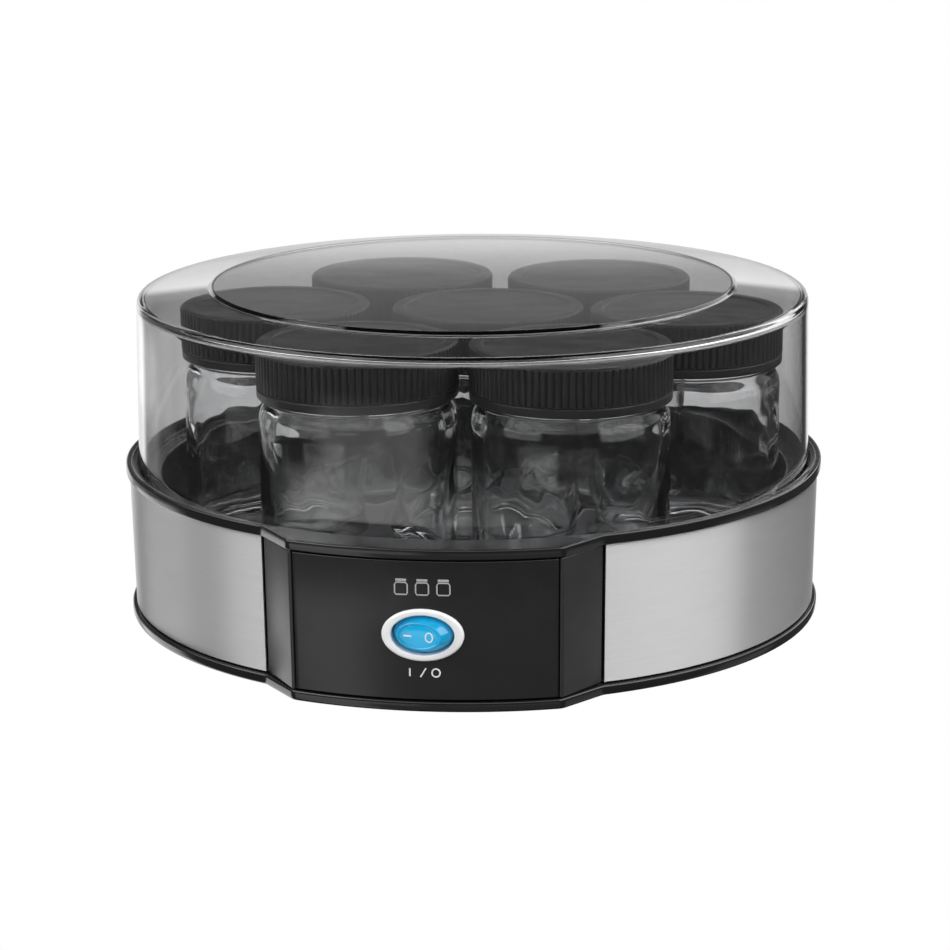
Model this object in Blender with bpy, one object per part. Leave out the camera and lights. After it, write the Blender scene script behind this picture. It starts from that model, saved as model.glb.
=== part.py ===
"""Seven-jar yogurt maker: a round heated base, a clear dome lid and seven screw-capped glass jars.

Metres, +Z up. The origin is on the table under the middle of the outer box, and the control panel
faces -Y. Angles are degrees round the body axis, measured from -Y towards +X.
"""
import math

import bmesh
import bpy
from mathutils import Matrix, Vector

MM = 0.001
GAP = 0.3 * MM

# Heights above the table
RIM_Z = 2.0 * MM
FLOOR_LOW_Z = 3.0 * MM
FLOOR_TOP_Z = 5.4 * MM
WALL_LOW_Z = 5.9 * MM
WALL_HIGH_Z = 51.4 * MM
FLANGE_LOW_Z = 51.7 * MM
LID_SEAT_Z = 52.0 * MM
FLANGE_TOP_Z = 55.0 * MM
LIP_LOW_Z = 22.0 * MM
LIP_TOP_Z = 23.7 * MM
HOT_PLATE_TOP_Z = 25.5 * MM
SHIELD_LOW_Z = 20.9 * MM
LID_SHOULDER_Z = 111.4 * MM
LID_TOP_Z = 115.0 * MM
SWITCH_Z = 27.5 * MM
GLAND_Z = 16.0 * MM

# Radii of the round body; a pair is the value at the foot of the wall and at its top
STEEL_OUT = (118.3 * MM, 119.2 * MM)
STEEL_THICK = 0.6 * MM
HOUSING_OUT = (116.6 * MM, 117.8 * MM)
HOUSING_WALL = 1.9 * MM
FLANGE_R = 120.5 * MM
RIM_R = 119.9 * MM
WELL_R = 107.0 * MM
WELL_MOUTH_R = 108.2 * MM
WELL_WALL = 1.8 * MM
LIP_R = 97.0 * MM
SHIELD_R = 99.3 * MM
LID_FOOT_R = 116.0 * MM
LID_SHOULDER_R = 115.0 * MM
LID_DISC_R = 89.4 * MM
LID_WALL = 2.0 * MM

# The control panel stands out in front of the round wall between two flat facets
FRONT_HALF = 19.4
FACET_HALF = 27.0
FASCIA_HALF = 18.75
FRONT_OUT = (128.9 * MM, 129.7 * MM)
FLANGE_FRONT_R = 130.5 * MM
RIM_FRONT_R = 128.7 * MM
FASCIA_THICK = 1.6 * MM
POD_WALL = 2.1 * MM
REAR_HALF = 8.2
REAR_OUT = (119.1 * MM, 120.0 * MM)
REAR_THICK = 1.6 * MM
GLAND_REACH = 123.0 * MM
GLAND_BODY_R = 4.8 * MM
GLAND_COLLAR_R = 7.0 * MM
GLAND_BORE_R = 3.3 * MM
GLAND_INNER_END = 113.5 * MM
GLAND_COLLAR_START = 120.0 * MM
GLAND_HOLE_R = GLAND_BODY_R + 0.4 * MM

# Switch ovals are half axes (width, height); depths count outwards from the panel's face
FACE_R = 129.3 * MM
BEZEL_OVAL = (12.9 * MM, 8.45 * MM)
SLEEVE_OVAL = (10.65 * MM, 7.15 * MM)
SOCKET_OVAL = (9.95 * MM, 6.45 * MM)
SLEEVE_DEPTH = -7.0 * MM
SWITCH_BACK_DEPTH = -14.0 * MM
ROCKER_AXIS_DEPTH = -2.5 * MM
ROCKER_TILT = 11.0
ROCKER_REACH = 133.05 * MM
TRUNNION_R = 0.8 * MM
BEZEL_STANDS_OUT = 1.5 * MM
BLADE_X = 5.0 * MM
BLADE_THICK = 0.8 * MM
BLADE_HALF_HEIGHT = 2.4 * MM
BLADE_DEPTHS = (-10.5 * MM, -16.5 * MM)
LAMP_R = 1.5 * MM
LAMP_DEPTHS = (-6.3 * MM, -11.6 * MM)
AXIS_Y = (ROCKER_REACH - GLAND_REACH) / 2

# Jars: one in the middle and six round it. They stand loose on the plate, so each has slid a
# little from its place: the middle one, then the others from the front right round to the front left
JAR_SIDES = 20
JAR_RING_R = 70.4 * MM
JAR_TURN = 31.25
JAR_SLIPS = [
    (5.2 * MM, 1.2 * MM),
    (2.8 * MM, 0.3 * MM),
    (3.1 * MM, 0.4 * MM),
    (4.6 * MM, 0.5 * MM),
    (3.1 * MM, 0.4 * MM),
    (1.6 * MM, 0.2 * MM),
    (3.7 * MM, 0.4 * MM),
]
JAR_FLOOR_Z = HOT_PLATE_TOP_Z + GAP
JAR_BODY_R = 32.3 * MM
JAR_NECK_R = 30.0 * MM
JAR_WALL = 3.0 * MM
JAR_SHOULDER_Z = 81.0 * MM
JAR_RIM_Z = 101.2 * MM
CAP_R = 33.0 * MM
CAP_WALL = 1.8 * MM
CAP_LOW_Z = 88.1 * MM
CAP_TOP_Z = 104.2 * MM
SEAL_R = 30.2 * MM
SEAL_THICK = 0.7 * MM

FOOT_SPOTS = {"front_left": -38, "front_right": 38, "rear_left": -142, "rear_right": 142}
FOOT_RING_R = 100.0 * MM
SCREW_SPOTS = {"front_left": -55, "front_right": 55, "rear_left": -125, "rear_right": 125}
SCREW_RING_R = 104.0 * MM
SCREW_HEAD_R = 3.6 * MM
SCREW_SHANK_R = 1.3 * MM
SCREW_TIP_Z = 16.5 * MM
BOSS_R = 3.2 * MM
PILOT_TOP_Z = 18.0 * MM
FOOT_R = 7.5 * MM
FOOT_STEM_R = 1.9 * MM
FOOT_BARB_R = 2.9 * MM

# Heater stack and wiring, placed from the body axis
STUD_R = 2.6 * MM
STUD_LOW_Z = 15.0 * MM
NUT_R = 4.9 * MM
NUT_HEIGHT = 3.0 * MM
LEAD_HOLE_R = 13.0 * MM
HEATER_RING = (48.0 * MM, 80.0 * MM)
HEATER_END = 10.0
HEATER_LEAD_Y = 63.0 * MM
THERMOSTAT_X = 30.0 * MM
THERMOSTAT_R = 8.0 * MM
THERMOSTAT_LOW_Z = 14.2 * MM
FUSE_Y = 34.0 * MM
FUSE_Z = 18.2 * MM
FUSE_R = 2.0 * MM
FUSE_HALF = 6.0 * MM
BLOCK_Y = 85.0 * MM
BLOCK_HALF = (12.0 * MM, 6.0 * MM)
BLOCK_TOP_Z = 16.0 * MM
WIRE_R = 0.8 * MM

# Colour, metallic, roughness and alpha
FINISHES = {
    "gloss_black": ((0.012, 0.012, 0.013), 0.0, 0.18, 1.0),
    "satin_black": ((0.030, 0.030, 0.032), 0.0, 0.42, 1.0),
    "fascia_black": ((0.016, 0.016, 0.017), 0.0, 0.30, 1.0),
    "steel": ((0.62, 0.62, 0.63), 1.0, 0.34, 1.0),
    "zinc": ((0.55, 0.55, 0.56), 1.0, 0.40, 1.0),
    "dark_plate": ((0.06, 0.06, 0.065), 0.6, 0.45, 1.0),
    "mica": ((0.42, 0.35, 0.24), 0.0, 0.60, 1.0),
    "rubber": ((0.020, 0.020, 0.021), 0.0, 0.75, 1.0),
    "smoke_clear": ((0.30, 0.31, 0.33), 0.0, 0.06, 0.30),
    "jar_glass": ((0.85, 0.90, 0.90), 0.0, 0.03, 0.35),
    "cap_black": ((0.018, 0.018, 0.019), 0.0, 0.50, 1.0),
    "seal_white": ((0.80, 0.80, 0.78), 0.0, 0.60, 1.0),
    "switch_white": ((0.86, 0.87, 0.88), 0.0, 0.25, 1.0),
    "switch_blue": ((0.01, 0.27, 0.52), 0.0, 0.18, 1.0),
    "brass": ((0.72, 0.52, 0.22), 1.0, 0.30, 1.0),
    "wire_red": ((0.45, 0.03, 0.02), 0.0, 0.50, 1.0),
    "ceramic": ((0.78, 0.75, 0.68), 0.0, 0.55, 1.0),
}


def clear_scene():
    for old in list(bpy.data.objects):
        bpy.data.objects.remove(old, do_unlink=True)


def material(name):
    if name in bpy.data.materials:
        return bpy.data.materials[name]
    colour, metallic, roughness, alpha = FINISHES[name]
    made = bpy.data.materials.new(name)
    made.use_nodes = True
    shader = made.node_tree.nodes["Principled BSDF"]
    shader.inputs["Base Color"].default_value = (*colour, 1.0)
    shader.inputs["Metallic"].default_value = metallic
    shader.inputs["Roughness"].default_value = roughness
    shader.inputs["Alpha"].default_value = alpha
    return made


def link(piece, parent, finish=None):
    piece.parent = parent
    if finish:
        piece.data.materials.append(material(finish))
    bpy.context.collection.objects.link(piece)
    return piece


def empty(name, place, parent=None):
    holder = bpy.data.objects.new(name, None)
    holder.empty_display_size = 10 * MM
    holder.location = place
    return link(holder, parent)


def mesh_object(name, bm, finish, parent):
    """Makes a closed bmesh into a named object, faces outwards, smooth but for its sharp edges."""
    bmesh.ops.recalc_face_normals(bm, faces=bm.faces)
    mesh = bpy.data.meshes.new(name)
    bm.to_mesh(mesh)
    bm.free()
    mesh.shade_smooth()
    mesh.set_sharp_from_angle(angle=math.radians(32))
    return link(bpy.data.objects.new(name, mesh), parent, finish)


def add_boolean(piece, guide, operation):
    guide.hide_render = True
    guide.display_type = "WIRE"
    cut = piece.modifiers.new(operation.lower(), "BOOLEAN")
    cut.operation = operation
    cut.object = guide


def steps(first, last, count):
    return [first + (last - first) * i / count for i in range(count + 1)]


def full_turn(count):
    return [360 * i / count for i in range(count)]


def bumped_turn():
    """Angles round the body, with one at each corner of the control panel."""
    return steps(-FRONT_HALF, FRONT_HALF, 6) + steps(FACET_HALF, 360 - FACET_HALF, 42)


def polar(radius, angle, z=0.0):
    turn = math.radians(angle)
    return Vector((radius * math.sin(turn), -radius * math.cos(turn), z))


def reach(angle, side, front):
    """Distance from the axis of an outline that runs at `side`, and at `front` over the panel."""
    away = abs((angle + 180) % 360 - 180)
    if front == side or away > FACET_HALF - 0.01:
        return side
    if away < FRONT_HALF + 0.01:
        return front
    start, along = polar(front, FRONT_HALF), polar(side, FACET_HALF) - polar(front, FRONT_HALF)
    ray = polar(1, away)
    share = (ray.x * start.y - ray.y * start.x) / (ray.y * along.x - ray.x * along.y)
    return (start + along * share).length


def drafted(pair, z):
    """A drafted wall's radius at height z, from its radii at its foot and its top."""
    share = (z - WALL_LOW_Z) / (WALL_HIGH_Z - WALL_LOW_Z)
    return pair[0] + (pair[1] - pair[0]) * share


def shifted(pair, amount):
    return pair[0] + amount, pair[1] + amount


def bridge(bm, rows, round_rows=True, round_profile=False):
    """Faces between neighbouring rows of vertices; a row of one vertex is a pole."""
    pairs = list(zip(rows, rows[1:]))
    if round_profile:
        pairs.append((rows[-1], rows[0]))
    for low, high in pairs:
        count = max(len(low), len(high))
        for i in range(count if round_rows else count - 1):
            j = (i + 1) % count
            corners = [low[i % len(low)], low[j % len(low)], high[j % len(high)], high[i % len(high)]]
            corners = list(dict.fromkeys(corners))
            if len(corners) > 2:
                bm.faces.new(corners)


def spun_rows(bm, profile, angles):
    """A row of vertices for each profile point (radius, z) or (radius, z, radius over the panel)."""
    rows = []
    for radius, z, *over_panel in profile:
        if radius == 0:
            rows.append([bm.verts.new((0, 0, z))])
            continue
        front = over_panel[0] if over_panel else radius
        rows.append([bm.verts.new(polar(reach(angle, radius, front), angle, z)) for angle in angles])
    return rows


def turned(name, profile, angles, finish, parent):
    """A body turned all the way round; its profile closes on itself, or runs from pole to pole."""
    bm = bmesh.new()
    rows = spun_rows(bm, profile, angles)
    bridge(bm, rows, round_profile=len(rows[0]) > 1)
    return mesh_object(name, bm, finish, parent)


def arc_body(name, profile, angles, finish, parent):
    """A closed profile swept through part of a turn, with flat ends."""
    bm = bmesh.new()
    rows = spun_rows(bm, profile, angles)
    bridge(bm, rows, round_rows=False, round_profile=True)
    bm.faces.new([row[0] for row in rows])
    bm.faces.new([row[-1] for row in rows])
    return mesh_object(name, bm, finish, parent)


def curved_plate(name, outer, thick, heights, angles, finish, parent):
    """A plate of one thickness that follows a drafted round wall."""
    low, high = heights
    inner = shifted(outer, -thick)
    corners = [(inner, low), (outer, low), (outer, high), (inner, high)]
    profile = [(drafted(pair, z), z) for pair, z in corners]
    return arc_body(name, profile, angles, finish, parent)


def lofted(name, outlines, finish, parent, ring=False):
    """A solid through outlines with equal point counts; a ring's last outline meets its first."""
    bm = bmesh.new()
    rows = [[bm.verts.new(point) for point in outline] for outline in outlines]
    bridge(bm, rows, round_profile=ring)
    if not ring:
        bm.faces.new(rows[0])
        bm.faces.new(rows[-1])
    return mesh_object(name, bm, finish, parent)


def add_cylinder(bm, radius, low, high, frame, count=12):
    """A cylinder along its frame's own Z axis, from low to high."""
    made = bmesh.ops.create_cone(
        bm, cap_ends=True, segments=count, radius1=radius, radius2=radius, depth=high - low)
    middle = Matrix.Translation((0, 0, (low + high) / 2))
    bmesh.ops.transform(bm, matrix=frame @ middle, verts=made["verts"])


def add_box(bm, low, high):
    low, high = Vector(low), Vector(high)
    made = bmesh.ops.create_cube(bm, size=1)
    frame = Matrix.Translation((low + high) / 2) @ Matrix.Diagonal((*(high - low), 1))
    bmesh.ops.transform(bm, matrix=frame, verts=made["verts"])


def upright(ring_radius, angle):
    return Matrix.Translation(polar(ring_radius, angle))


def rearward(z):
    """A frame on the body axis at height z whose Z axis points to the rear."""
    return Matrix.Translation((0, 0, z)) @ Matrix.Rotation(math.radians(-90), 4, "X")


# ---- Casings of the base ----

def upper_housing(axis):
    """Moulded ring: outer wall, flange and lid seat, jar well and the lip that holds the hot plate."""
    foot_r, top_r = HOUSING_OUT
    seat_low = LID_SEAT_Z - 2.4 * MM
    profile = [
        (foot_r, WALL_LOW_Z),
        (top_r, FLANGE_LOW_Z),
        (FLANGE_R - 0.5 * MM, FLANGE_LOW_Z, FLANGE_FRONT_R - 0.5 * MM),
        (FLANGE_R, FLANGE_LOW_Z + 0.6 * MM, FLANGE_FRONT_R),
        (FLANGE_R, FLANGE_TOP_Z - 0.7 * MM, FLANGE_FRONT_R),
        (FLANGE_R - 0.6 * MM, FLANGE_TOP_Z - 0.1 * MM, FLANGE_FRONT_R - 0.6 * MM),
        (LID_FOOT_R + 1.1 * MM, FLANGE_TOP_Z),
        (LID_FOOT_R + 0.7 * MM, FLANGE_TOP_Z - 0.5 * MM),
        (LID_FOOT_R + 0.7 * MM, LID_SEAT_Z),
        (WELL_MOUTH_R + 1.2 * MM, LID_SEAT_Z),
        (WELL_MOUTH_R, LID_SEAT_Z - 1.2 * MM),
        (WELL_R, LIP_TOP_Z),
        (LIP_R, LIP_TOP_Z),
        (LIP_R, LIP_LOW_Z),
        (WELL_R + WELL_WALL, LIP_LOW_Z),
        (WELL_MOUTH_R + WELL_WALL, seat_low),
        (top_r - HOUSING_WALL, seat_low),
        (foot_r - HOUSING_WALL, WALL_LOW_Z),
    ]
    housing = turned("upper_housing", profile, bumped_turn(), "gloss_black", axis)
    add_boolean(housing, screw_bosses(axis), "UNION")
    add_boolean(housing, housing_holes(axis), "DIFFERENCE")


def screw_bosses(axis):
    bm = bmesh.new()
    for angle in SCREW_SPOTS.values():
        add_cylinder(bm, BOSS_R, WALL_LOW_Z, LIP_LOW_Z + 0.8 * MM, upright(SCREW_RING_R, angle))
    return mesh_object("guide_bosses", bm, "gloss_black", axis)


def housing_holes(axis):
    """Pilot holes in the bosses, a window for the switch and a hole for the cord gland."""
    bm = bmesh.new()
    for angle in SCREW_SPOTS.values():
        add_cylinder(bm, SCREW_SHANK_R + GAP, WALL_LOW_Z - 1 * MM, PILOT_TOP_Z, upright(SCREW_RING_R, angle))
    half = SLEEVE_OVAL[0] + 2.5 * MM
    wall_in, wall_out = HOUSING_OUT[0] - HOUSING_WALL - 2.7 * MM, HOUSING_OUT[1] + 1 * MM
    add_box(bm, (-half, -wall_out, SWITCH_Z - half), (half, -wall_in, SWITCH_Z + half))
    add_cylinder(bm, GLAND_HOLE_R, wall_in, wall_out, rearward(GLAND_Z), 20)
    return mesh_object("guide_housing_holes", bm, "gloss_black", axis)


def base_plate(axis):
    """Bottom cover, with the black rim that runs round the foot of the body."""
    profile = [
        (0, FLOOR_LOW_Z),
        (RIM_R - 2.9 * MM, FLOOR_LOW_Z, RIM_FRONT_R - 2.9 * MM),
        (RIM_R - 2.3 * MM, RIM_Z, RIM_FRONT_R - 2.3 * MM),
        (RIM_R - 0.9 * MM, RIM_Z, RIM_FRONT_R - 0.9 * MM),
        (RIM_R - 0.1 * MM, RIM_Z + 0.8 * MM, RIM_FRONT_R - 0.1 * MM),
        (RIM_R, FLOOR_TOP_Z - 0.7 * MM, RIM_FRONT_R),
        (RIM_R - 0.5 * MM, FLOOR_TOP_Z, RIM_FRONT_R - 0.5 * MM),
        (0, FLOOR_TOP_Z),
    ]
    plate = turned("base_plate", profile, bumped_turn(), "gloss_black", axis)
    bm = bmesh.new()
    for angle in SCREW_SPOTS.values():
        spot = upright(SCREW_RING_R, angle)
        add_cylinder(bm, SCREW_HEAD_R + 0.4 * MM, FLOOR_LOW_Z - 1 * MM, FLOOR_LOW_Z + 1.4 * MM, spot, 16)
    guide = mesh_object("guide_head_pockets", bm, "gloss_black", axis)
    add_boolean(plate, guide, "DIFFERENCE")
    bm = bmesh.new()
    for angle in SCREW_SPOTS.values():
        add_cylinder(bm, SCREW_SHANK_R + 2 * GAP, 0, WALL_LOW_Z + 1 * MM, upright(SCREW_RING_R, angle))
    for angle in FOOT_SPOTS.values():
        add_cylinder(bm, FOOT_STEM_R + 0.4 * MM, 0, WALL_LOW_Z + 1 * MM, upright(FOOT_RING_R, angle))
    guide = mesh_object("guide_floor_holes", bm, "gloss_black", axis)
    add_boolean(plate, guide, "DIFFERENCE")


def steel_panels(axis):
    """Two brushed sheets round the sides, from the control panel to the rear panel."""
    heights = (WALL_LOW_Z, WALL_HIGH_Z)
    first, last = FACET_HALF + 0.3, 180 - REAR_HALF - 0.3
    right = steps(first, last, 24)
    left = steps(-last, -first, 24)
    curved_plate("steel_panel_right", STEEL_OUT, STEEL_THICK, heights, right, "steel", axis)
    curved_plate("steel_panel_left", STEEL_OUT, STEEL_THICK, heights, left, "steel", axis)


def cord_entry(axis):
    """Rear panel between the steel sheets, and the bush that the mains cord would pass through."""
    angles = steps(180 - REAR_HALF, 180 + REAR_HALF, 6)
    heights = (WALL_LOW_Z, WALL_HIGH_Z)
    panel = curved_plate("rear_panel", REAR_OUT, REAR_THICK, heights, angles, "satin_black", axis)
    bm = bmesh.new()
    add_cylinder(bm, GLAND_HOLE_R, GLAND_INNER_END, GLAND_REACH, rearward(GLAND_Z), 20)
    add_boolean(panel, mesh_object("guide_cord_hole", bm, "satin_black", axis), "DIFFERENCE")
    profile = [
        (GLAND_BORE_R, GLAND_INNER_END),
        (GLAND_BODY_R, GLAND_INNER_END),
        (GLAND_BODY_R, GLAND_COLLAR_START),
        (GLAND_COLLAR_R, GLAND_COLLAR_START),
        (GLAND_COLLAR_R, GLAND_REACH - 0.8 * MM),
        (GLAND_COLLAR_R - 0.8 * MM, GLAND_REACH),
        (GLAND_BORE_R, GLAND_REACH),
    ]
    gland = turned("cord_gland", profile, full_turn(16), "rubber", axis)
    gland.location = (0, 0, GLAND_Z)
    gland.rotation_euler = (math.radians(-90), 0, 0)


# ---- Control panel and switch ----

def pod_outline(z):
    """Plan of the control housing at height z: facets, fascia recess, then the inner side."""
    side, front = drafted(STEEL_OUT, z), drafted(FRONT_OUT, z)
    recess = front - FASCIA_THICK - GAP
    inner_side, inner_front = drafted(HOUSING_OUT, z) + 0.6 * MM, recess - POD_WALL
    end, groove = FACET_HALF - 0.15, FASCIA_HALF + 0.2
    outer = [(side, end), (front, FRONT_HALF), (front, groove)]
    outer += [(recess, angle) for angle in steps(groove, -groove, 8)]
    outer += [(front, -groove), (front, -FRONT_HALF), (side, -end)]
    inner = [(inner_side, -end), (inner_side, 1.8 - FACET_HALF)]
    inner += [(inner_front, angle) for angle in steps(1 - FRONT_HALF, FRONT_HALF - 1, 8)]
    inner += [(inner_side, FACET_HALF - 1.8), (inner_side, end)]
    return [polar(radius, angle, z) for radius, angle in outer + inner]


def on_face(x, z, depth):
    """The point at x and z that lies `depth` outside the panel's curved, drafted face."""
    radius = drafted(FRONT_OUT, z) + depth
    return Vector((x, -math.sqrt(radius ** 2 - x ** 2), z))


def oval(half_axes, depth, curved=False, count=28):
    """An oval round the switch's centre, flat or laid on the panel's curve."""
    points = []
    for angle in full_turn(count):
        x = half_axes[0] * math.cos(math.radians(angle))
        z = SWITCH_Z + half_axes[1] * math.sin(math.radians(angle))
        points.append(on_face(x, z, depth) if curved else Vector((x, -FACE_R - depth, z)))
    return points


def control_panel(axis):
    outlines = [pod_outline(WALL_LOW_Z), pod_outline(WALL_HIGH_Z)]
    pod = lofted("control_housing", outlines, "satin_black", axis)
    heights = (WALL_LOW_Z + GAP, WALL_HIGH_Z - GAP)
    angles = steps(-FASCIA_HALF, FASCIA_HALF, 8)
    fascia = curved_plate("control_fascia", FRONT_OUT, FASCIA_THICK, heights, angles, "fascia_black", axis)
    window = shifted(SLEEVE_OVAL, 0.4 * MM)
    guide = lofted("guide_window", [oval(window, -8 * MM), oval(window, 3 * MM)], "fascia_black", axis)
    add_boolean(pod, guide, "DIFFERENCE")
    add_boolean(fascia, guide, "DIFFERENCE")


def switch_bezel(axis):
    """White oval frame laid on the fascia, with the sleeve that passes through its window."""
    rings = [
        oval(BEZEL_OVAL, GAP, True),
        oval(BEZEL_OVAL, BEZEL_STANDS_OUT - 0.6 * MM, True),
        oval(shifted(BEZEL_OVAL, -0.6 * MM), BEZEL_STANDS_OUT, True),
        oval(shifted(SOCKET_OVAL, 0.3 * MM), BEZEL_STANDS_OUT, True),
        oval(SOCKET_OVAL, BEZEL_STANDS_OUT - 0.3 * MM, True),
        oval(SOCKET_OVAL, SLEEVE_DEPTH),
        oval(SLEEVE_OVAL, SLEEVE_DEPTH),
        oval(SLEEVE_OVAL, GAP, True),
    ]
    bezel = lofted("switch_bezel", rings, "switch_white", axis, ring=True)
    bm = bmesh.new()
    pivot = Matrix.Translation((0, -FACE_R - ROCKER_AXIS_DEPTH, SWITCH_Z))
    add_cylinder(bm, TRUNNION_R + GAP, -9 * MM, 9 * MM, pivot, 8)
    add_boolean(bezel, mesh_object("guide_pivot_holes", bm, "switch_white", axis), "DIFFERENCE")


def switch_rocker(axis):
    """Blue rocker shell on two trunnions, held tipped to its ON side."""
    pivot = empty("rocker_pivot", (0, -FACE_R - ROCKER_AXIS_DEPTH, SWITCH_Z), axis)
    pivot.rotation_euler = (0, 0, math.radians(-ROCKER_TILT))
    sections = [
        (0, 0, 2.75 * MM),
        (7.0 * MM, 4.1 * MM, 2.5 * MM),
        (7.5 * MM, 4.5 * MM, 2.1 * MM),
        (8.7 * MM, 5.4 * MM, 0.4 * MM),
        (9.55 * MM, 6.05 * MM, -2.5 * MM),
        (9.2 * MM, 5.85 * MM, -5.0 * MM),
        (8.2 * MM, 4.9 * MM, -5.0 * MM),
        (6.4 * MM, 3.5 * MM, 1.1 * MM),
        (0, 0, 1.3 * MM),
    ]
    bm = bmesh.new()
    rows = []
    for width, height, depth in sections:
        turn = [math.radians(angle) for angle in full_turn(24)] if width else [0]
        y = ROCKER_AXIS_DEPTH - depth
        rows.append([bm.verts.new((width * math.cos(t), y, height * math.sin(t))) for t in turn])
    bridge(bm, rows)
    rocker = mesh_object("switch_rocker", bm, "switch_blue", pivot)
    bm = bmesh.new()
    add_cylinder(bm, TRUNNION_R, -7.0 * MM, 7.0 * MM, Matrix(), 8)
    add_boolean(rocker, mesh_object("guide_trunnions", bm, "switch_blue", pivot), "UNION")


def add_blade(bm, side, spare, depths):
    """A contact blade on one side of the switch, or its slot with some spare room round it."""
    half_x, half_z = BLADE_THICK / 2 + spare, BLADE_HALF_HEIGHT + spare
    low = (side * BLADE_X - half_x, -FACE_R - depths[0], SWITCH_Z - half_z)
    high = (side * BLADE_X + half_x, -FACE_R - depths[1], SWITCH_Z + half_z)
    add_box(bm, low, high)


def switch_insides(axis):
    """Contact block, its two brass blades and the lamp that lights the rocker."""
    rim = SLEEVE_DEPTH - GAP
    cavity, cavity_depth = shifted(SLEEVE_OVAL, -1.1 * MM), SWITCH_BACK_DEPTH + 1.8 * MM
    rings = [
        oval(cavity, cavity_depth),
        oval(cavity, rim),
        oval(SLEEVE_OVAL, rim),
        oval(SLEEVE_OVAL, SWITCH_BACK_DEPTH),
    ]
    block = lofted("switch_body", rings, "satin_black", axis)
    bm = bmesh.new()
    for side in (-1, 1):
        add_blade(bm, side, 0.4 * MM, (cavity_depth + 3 * MM, SWITCH_BACK_DEPTH - 1 * MM))
    add_boolean(block, mesh_object("guide_blade_slots", bm, "satin_black", axis), "DIFFERENCE")
    for name, side in (("switch_blade_line", -1), ("switch_blade_load", 1)):
        bm = bmesh.new()
        add_blade(bm, side, 0, BLADE_DEPTHS)
        mesh_object(name, bm, "brass", axis)
    tip, back = LAMP_DEPTHS
    lamp = [
        (0, tip),
        (LAMP_R - 0.4 * MM, tip - 0.3 * MM),
        (LAMP_R, tip - 1.2 * MM),
        (LAMP_R, back),
        (0, back),
    ]
    bulb = turned("indicator_lamp", lamp, full_turn(10), "jar_glass", axis)
    bulb.location = (0, -FACE_R, SWITCH_Z)
    bulb.rotation_euler = (math.radians(90), 0, 0)


# ---- Heater stack under the jars ----

def ring_section(inner_r, outer_r, low, high):
    return [(inner_r, low), (outer_r, low), (outer_r, high), (inner_r, high)]


def heater_stack(axis):
    """Hot plate on the well's lip, mica heater below it, and the shield that a nut pulls up."""
    plate_low = LIP_TOP_Z + GAP
    round_plate = full_turn(48)
    plate_r = WELL_R - 0.8 * MM
    hot_plate = [
        (0, HOT_PLATE_TOP_Z),
        (plate_r, HOT_PLATE_TOP_Z),
        (plate_r, plate_low),
        (STUD_R, plate_low),
        (STUD_R, STUD_LOW_Z),
        (0, STUD_LOW_Z),
    ]
    turned("heating_plate", hot_plate, round_plate, "dark_plate", axis)
    shield_top = LIP_LOW_Z - GAP
    hole_r = STUD_R + 0.5 * MM
    shield = ring_section(hole_r, SHIELD_R, SHIELD_LOW_Z, shield_top)
    cover = turned("heat_shield", shield, round_plate, "zinc", axis)
    bm = bmesh.new()
    lead_hole = upright(HEATER_LEAD_Y, 180)
    add_cylinder(bm, LEAD_HOLE_R, SHIELD_LOW_Z - 1 * MM, shield_top + 1 * MM, lead_hole, 16)
    add_boolean(cover, mesh_object("guide_lead_hole", bm, "zinc", axis), "DIFFERENCE")
    strip = ring_section(*HEATER_RING, LIP_LOW_Z, LIP_TOP_Z)
    angles = steps(HEATER_END - 180, 180 - HEATER_END, 34)
    arc_body("heater_element", strip, angles, "mica", axis)
    nut_top = SHIELD_LOW_Z - GAP
    nut = ring_section(STUD_R + 0.7 * MM, NUT_R, nut_top - NUT_HEIGHT, nut_top)
    turned("shield_nut", nut, full_turn(6), "zinc", axis)


def protection(axis):
    """Thermostat and thermal fuse below the shield, and the block where the leads meet."""
    can = [
        (0, SHIELD_LOW_Z - GAP),
        (THERMOSTAT_R, SHIELD_LOW_Z - GAP),
        (THERMOSTAT_R, THERMOSTAT_LOW_Z + 2.3 * MM),
        (THERMOSTAT_R - 1.5 * MM, THERMOSTAT_LOW_Z),
        (0, THERMOSTAT_LOW_Z),
    ]
    turned("thermostat", can, full_turn(16), "zinc", axis).location = (THERMOSTAT_X, 0, 0)
    bm = bmesh.new()
    across = Matrix.Translation((0, FUSE_Y, FUSE_Z)) @ Matrix.Rotation(math.radians(90), 4, "Y")
    add_cylinder(bm, FUSE_R, -FUSE_HALF, FUSE_HALF, across)
    mesh_object("thermal_fuse", bm, "ceramic", axis)
    bm = bmesh.new()
    half_x, half_y = BLOCK_HALF
    add_box(bm, (-half_x, BLOCK_Y - half_y, FLOOR_TOP_Z + GAP), (half_x, BLOCK_Y + half_y, BLOCK_TOP_Z))
    mesh_object("terminal_block", bm, "ceramic", axis)


# ---- Wiring ----

def smooth_route(points, pieces=4):
    """Points along a Catmull-Rom curve through the route's own points."""
    ends = [points[0] * 2 - points[1], *points, points[-1] * 2 - points[-2]]
    route = []
    for before, start, end, after in zip(ends, ends[1:], ends[2:], ends[3:]):
        for i in range(pieces):
            t = i / pieces
            pull = (end - before) * t + (before * 2 - start * 5 + end * 4 - after) * t ** 2
            route.append(start + (pull + (start * 3 - before - end * 3 + after) * t ** 3) / 2)
    return route + [points[-1]]


def wire(name, route, axis):
    curve = bpy.data.curves.new(name, "CURVE")
    curve.dimensions = "3D"
    curve.bevel_depth = WIRE_R
    curve.bevel_resolution = 1
    curve.use_fill_caps = True
    points = smooth_route([Vector(point) * MM for point in route])
    spline = curve.splines.new("POLY")
    spline.points.add(len(points) - 1)
    for slot, point in zip(spline.points, points):
        slot.co = (*point, 1)
    link(bpy.data.objects.new(name, curve), axis, "wire_red")


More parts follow.
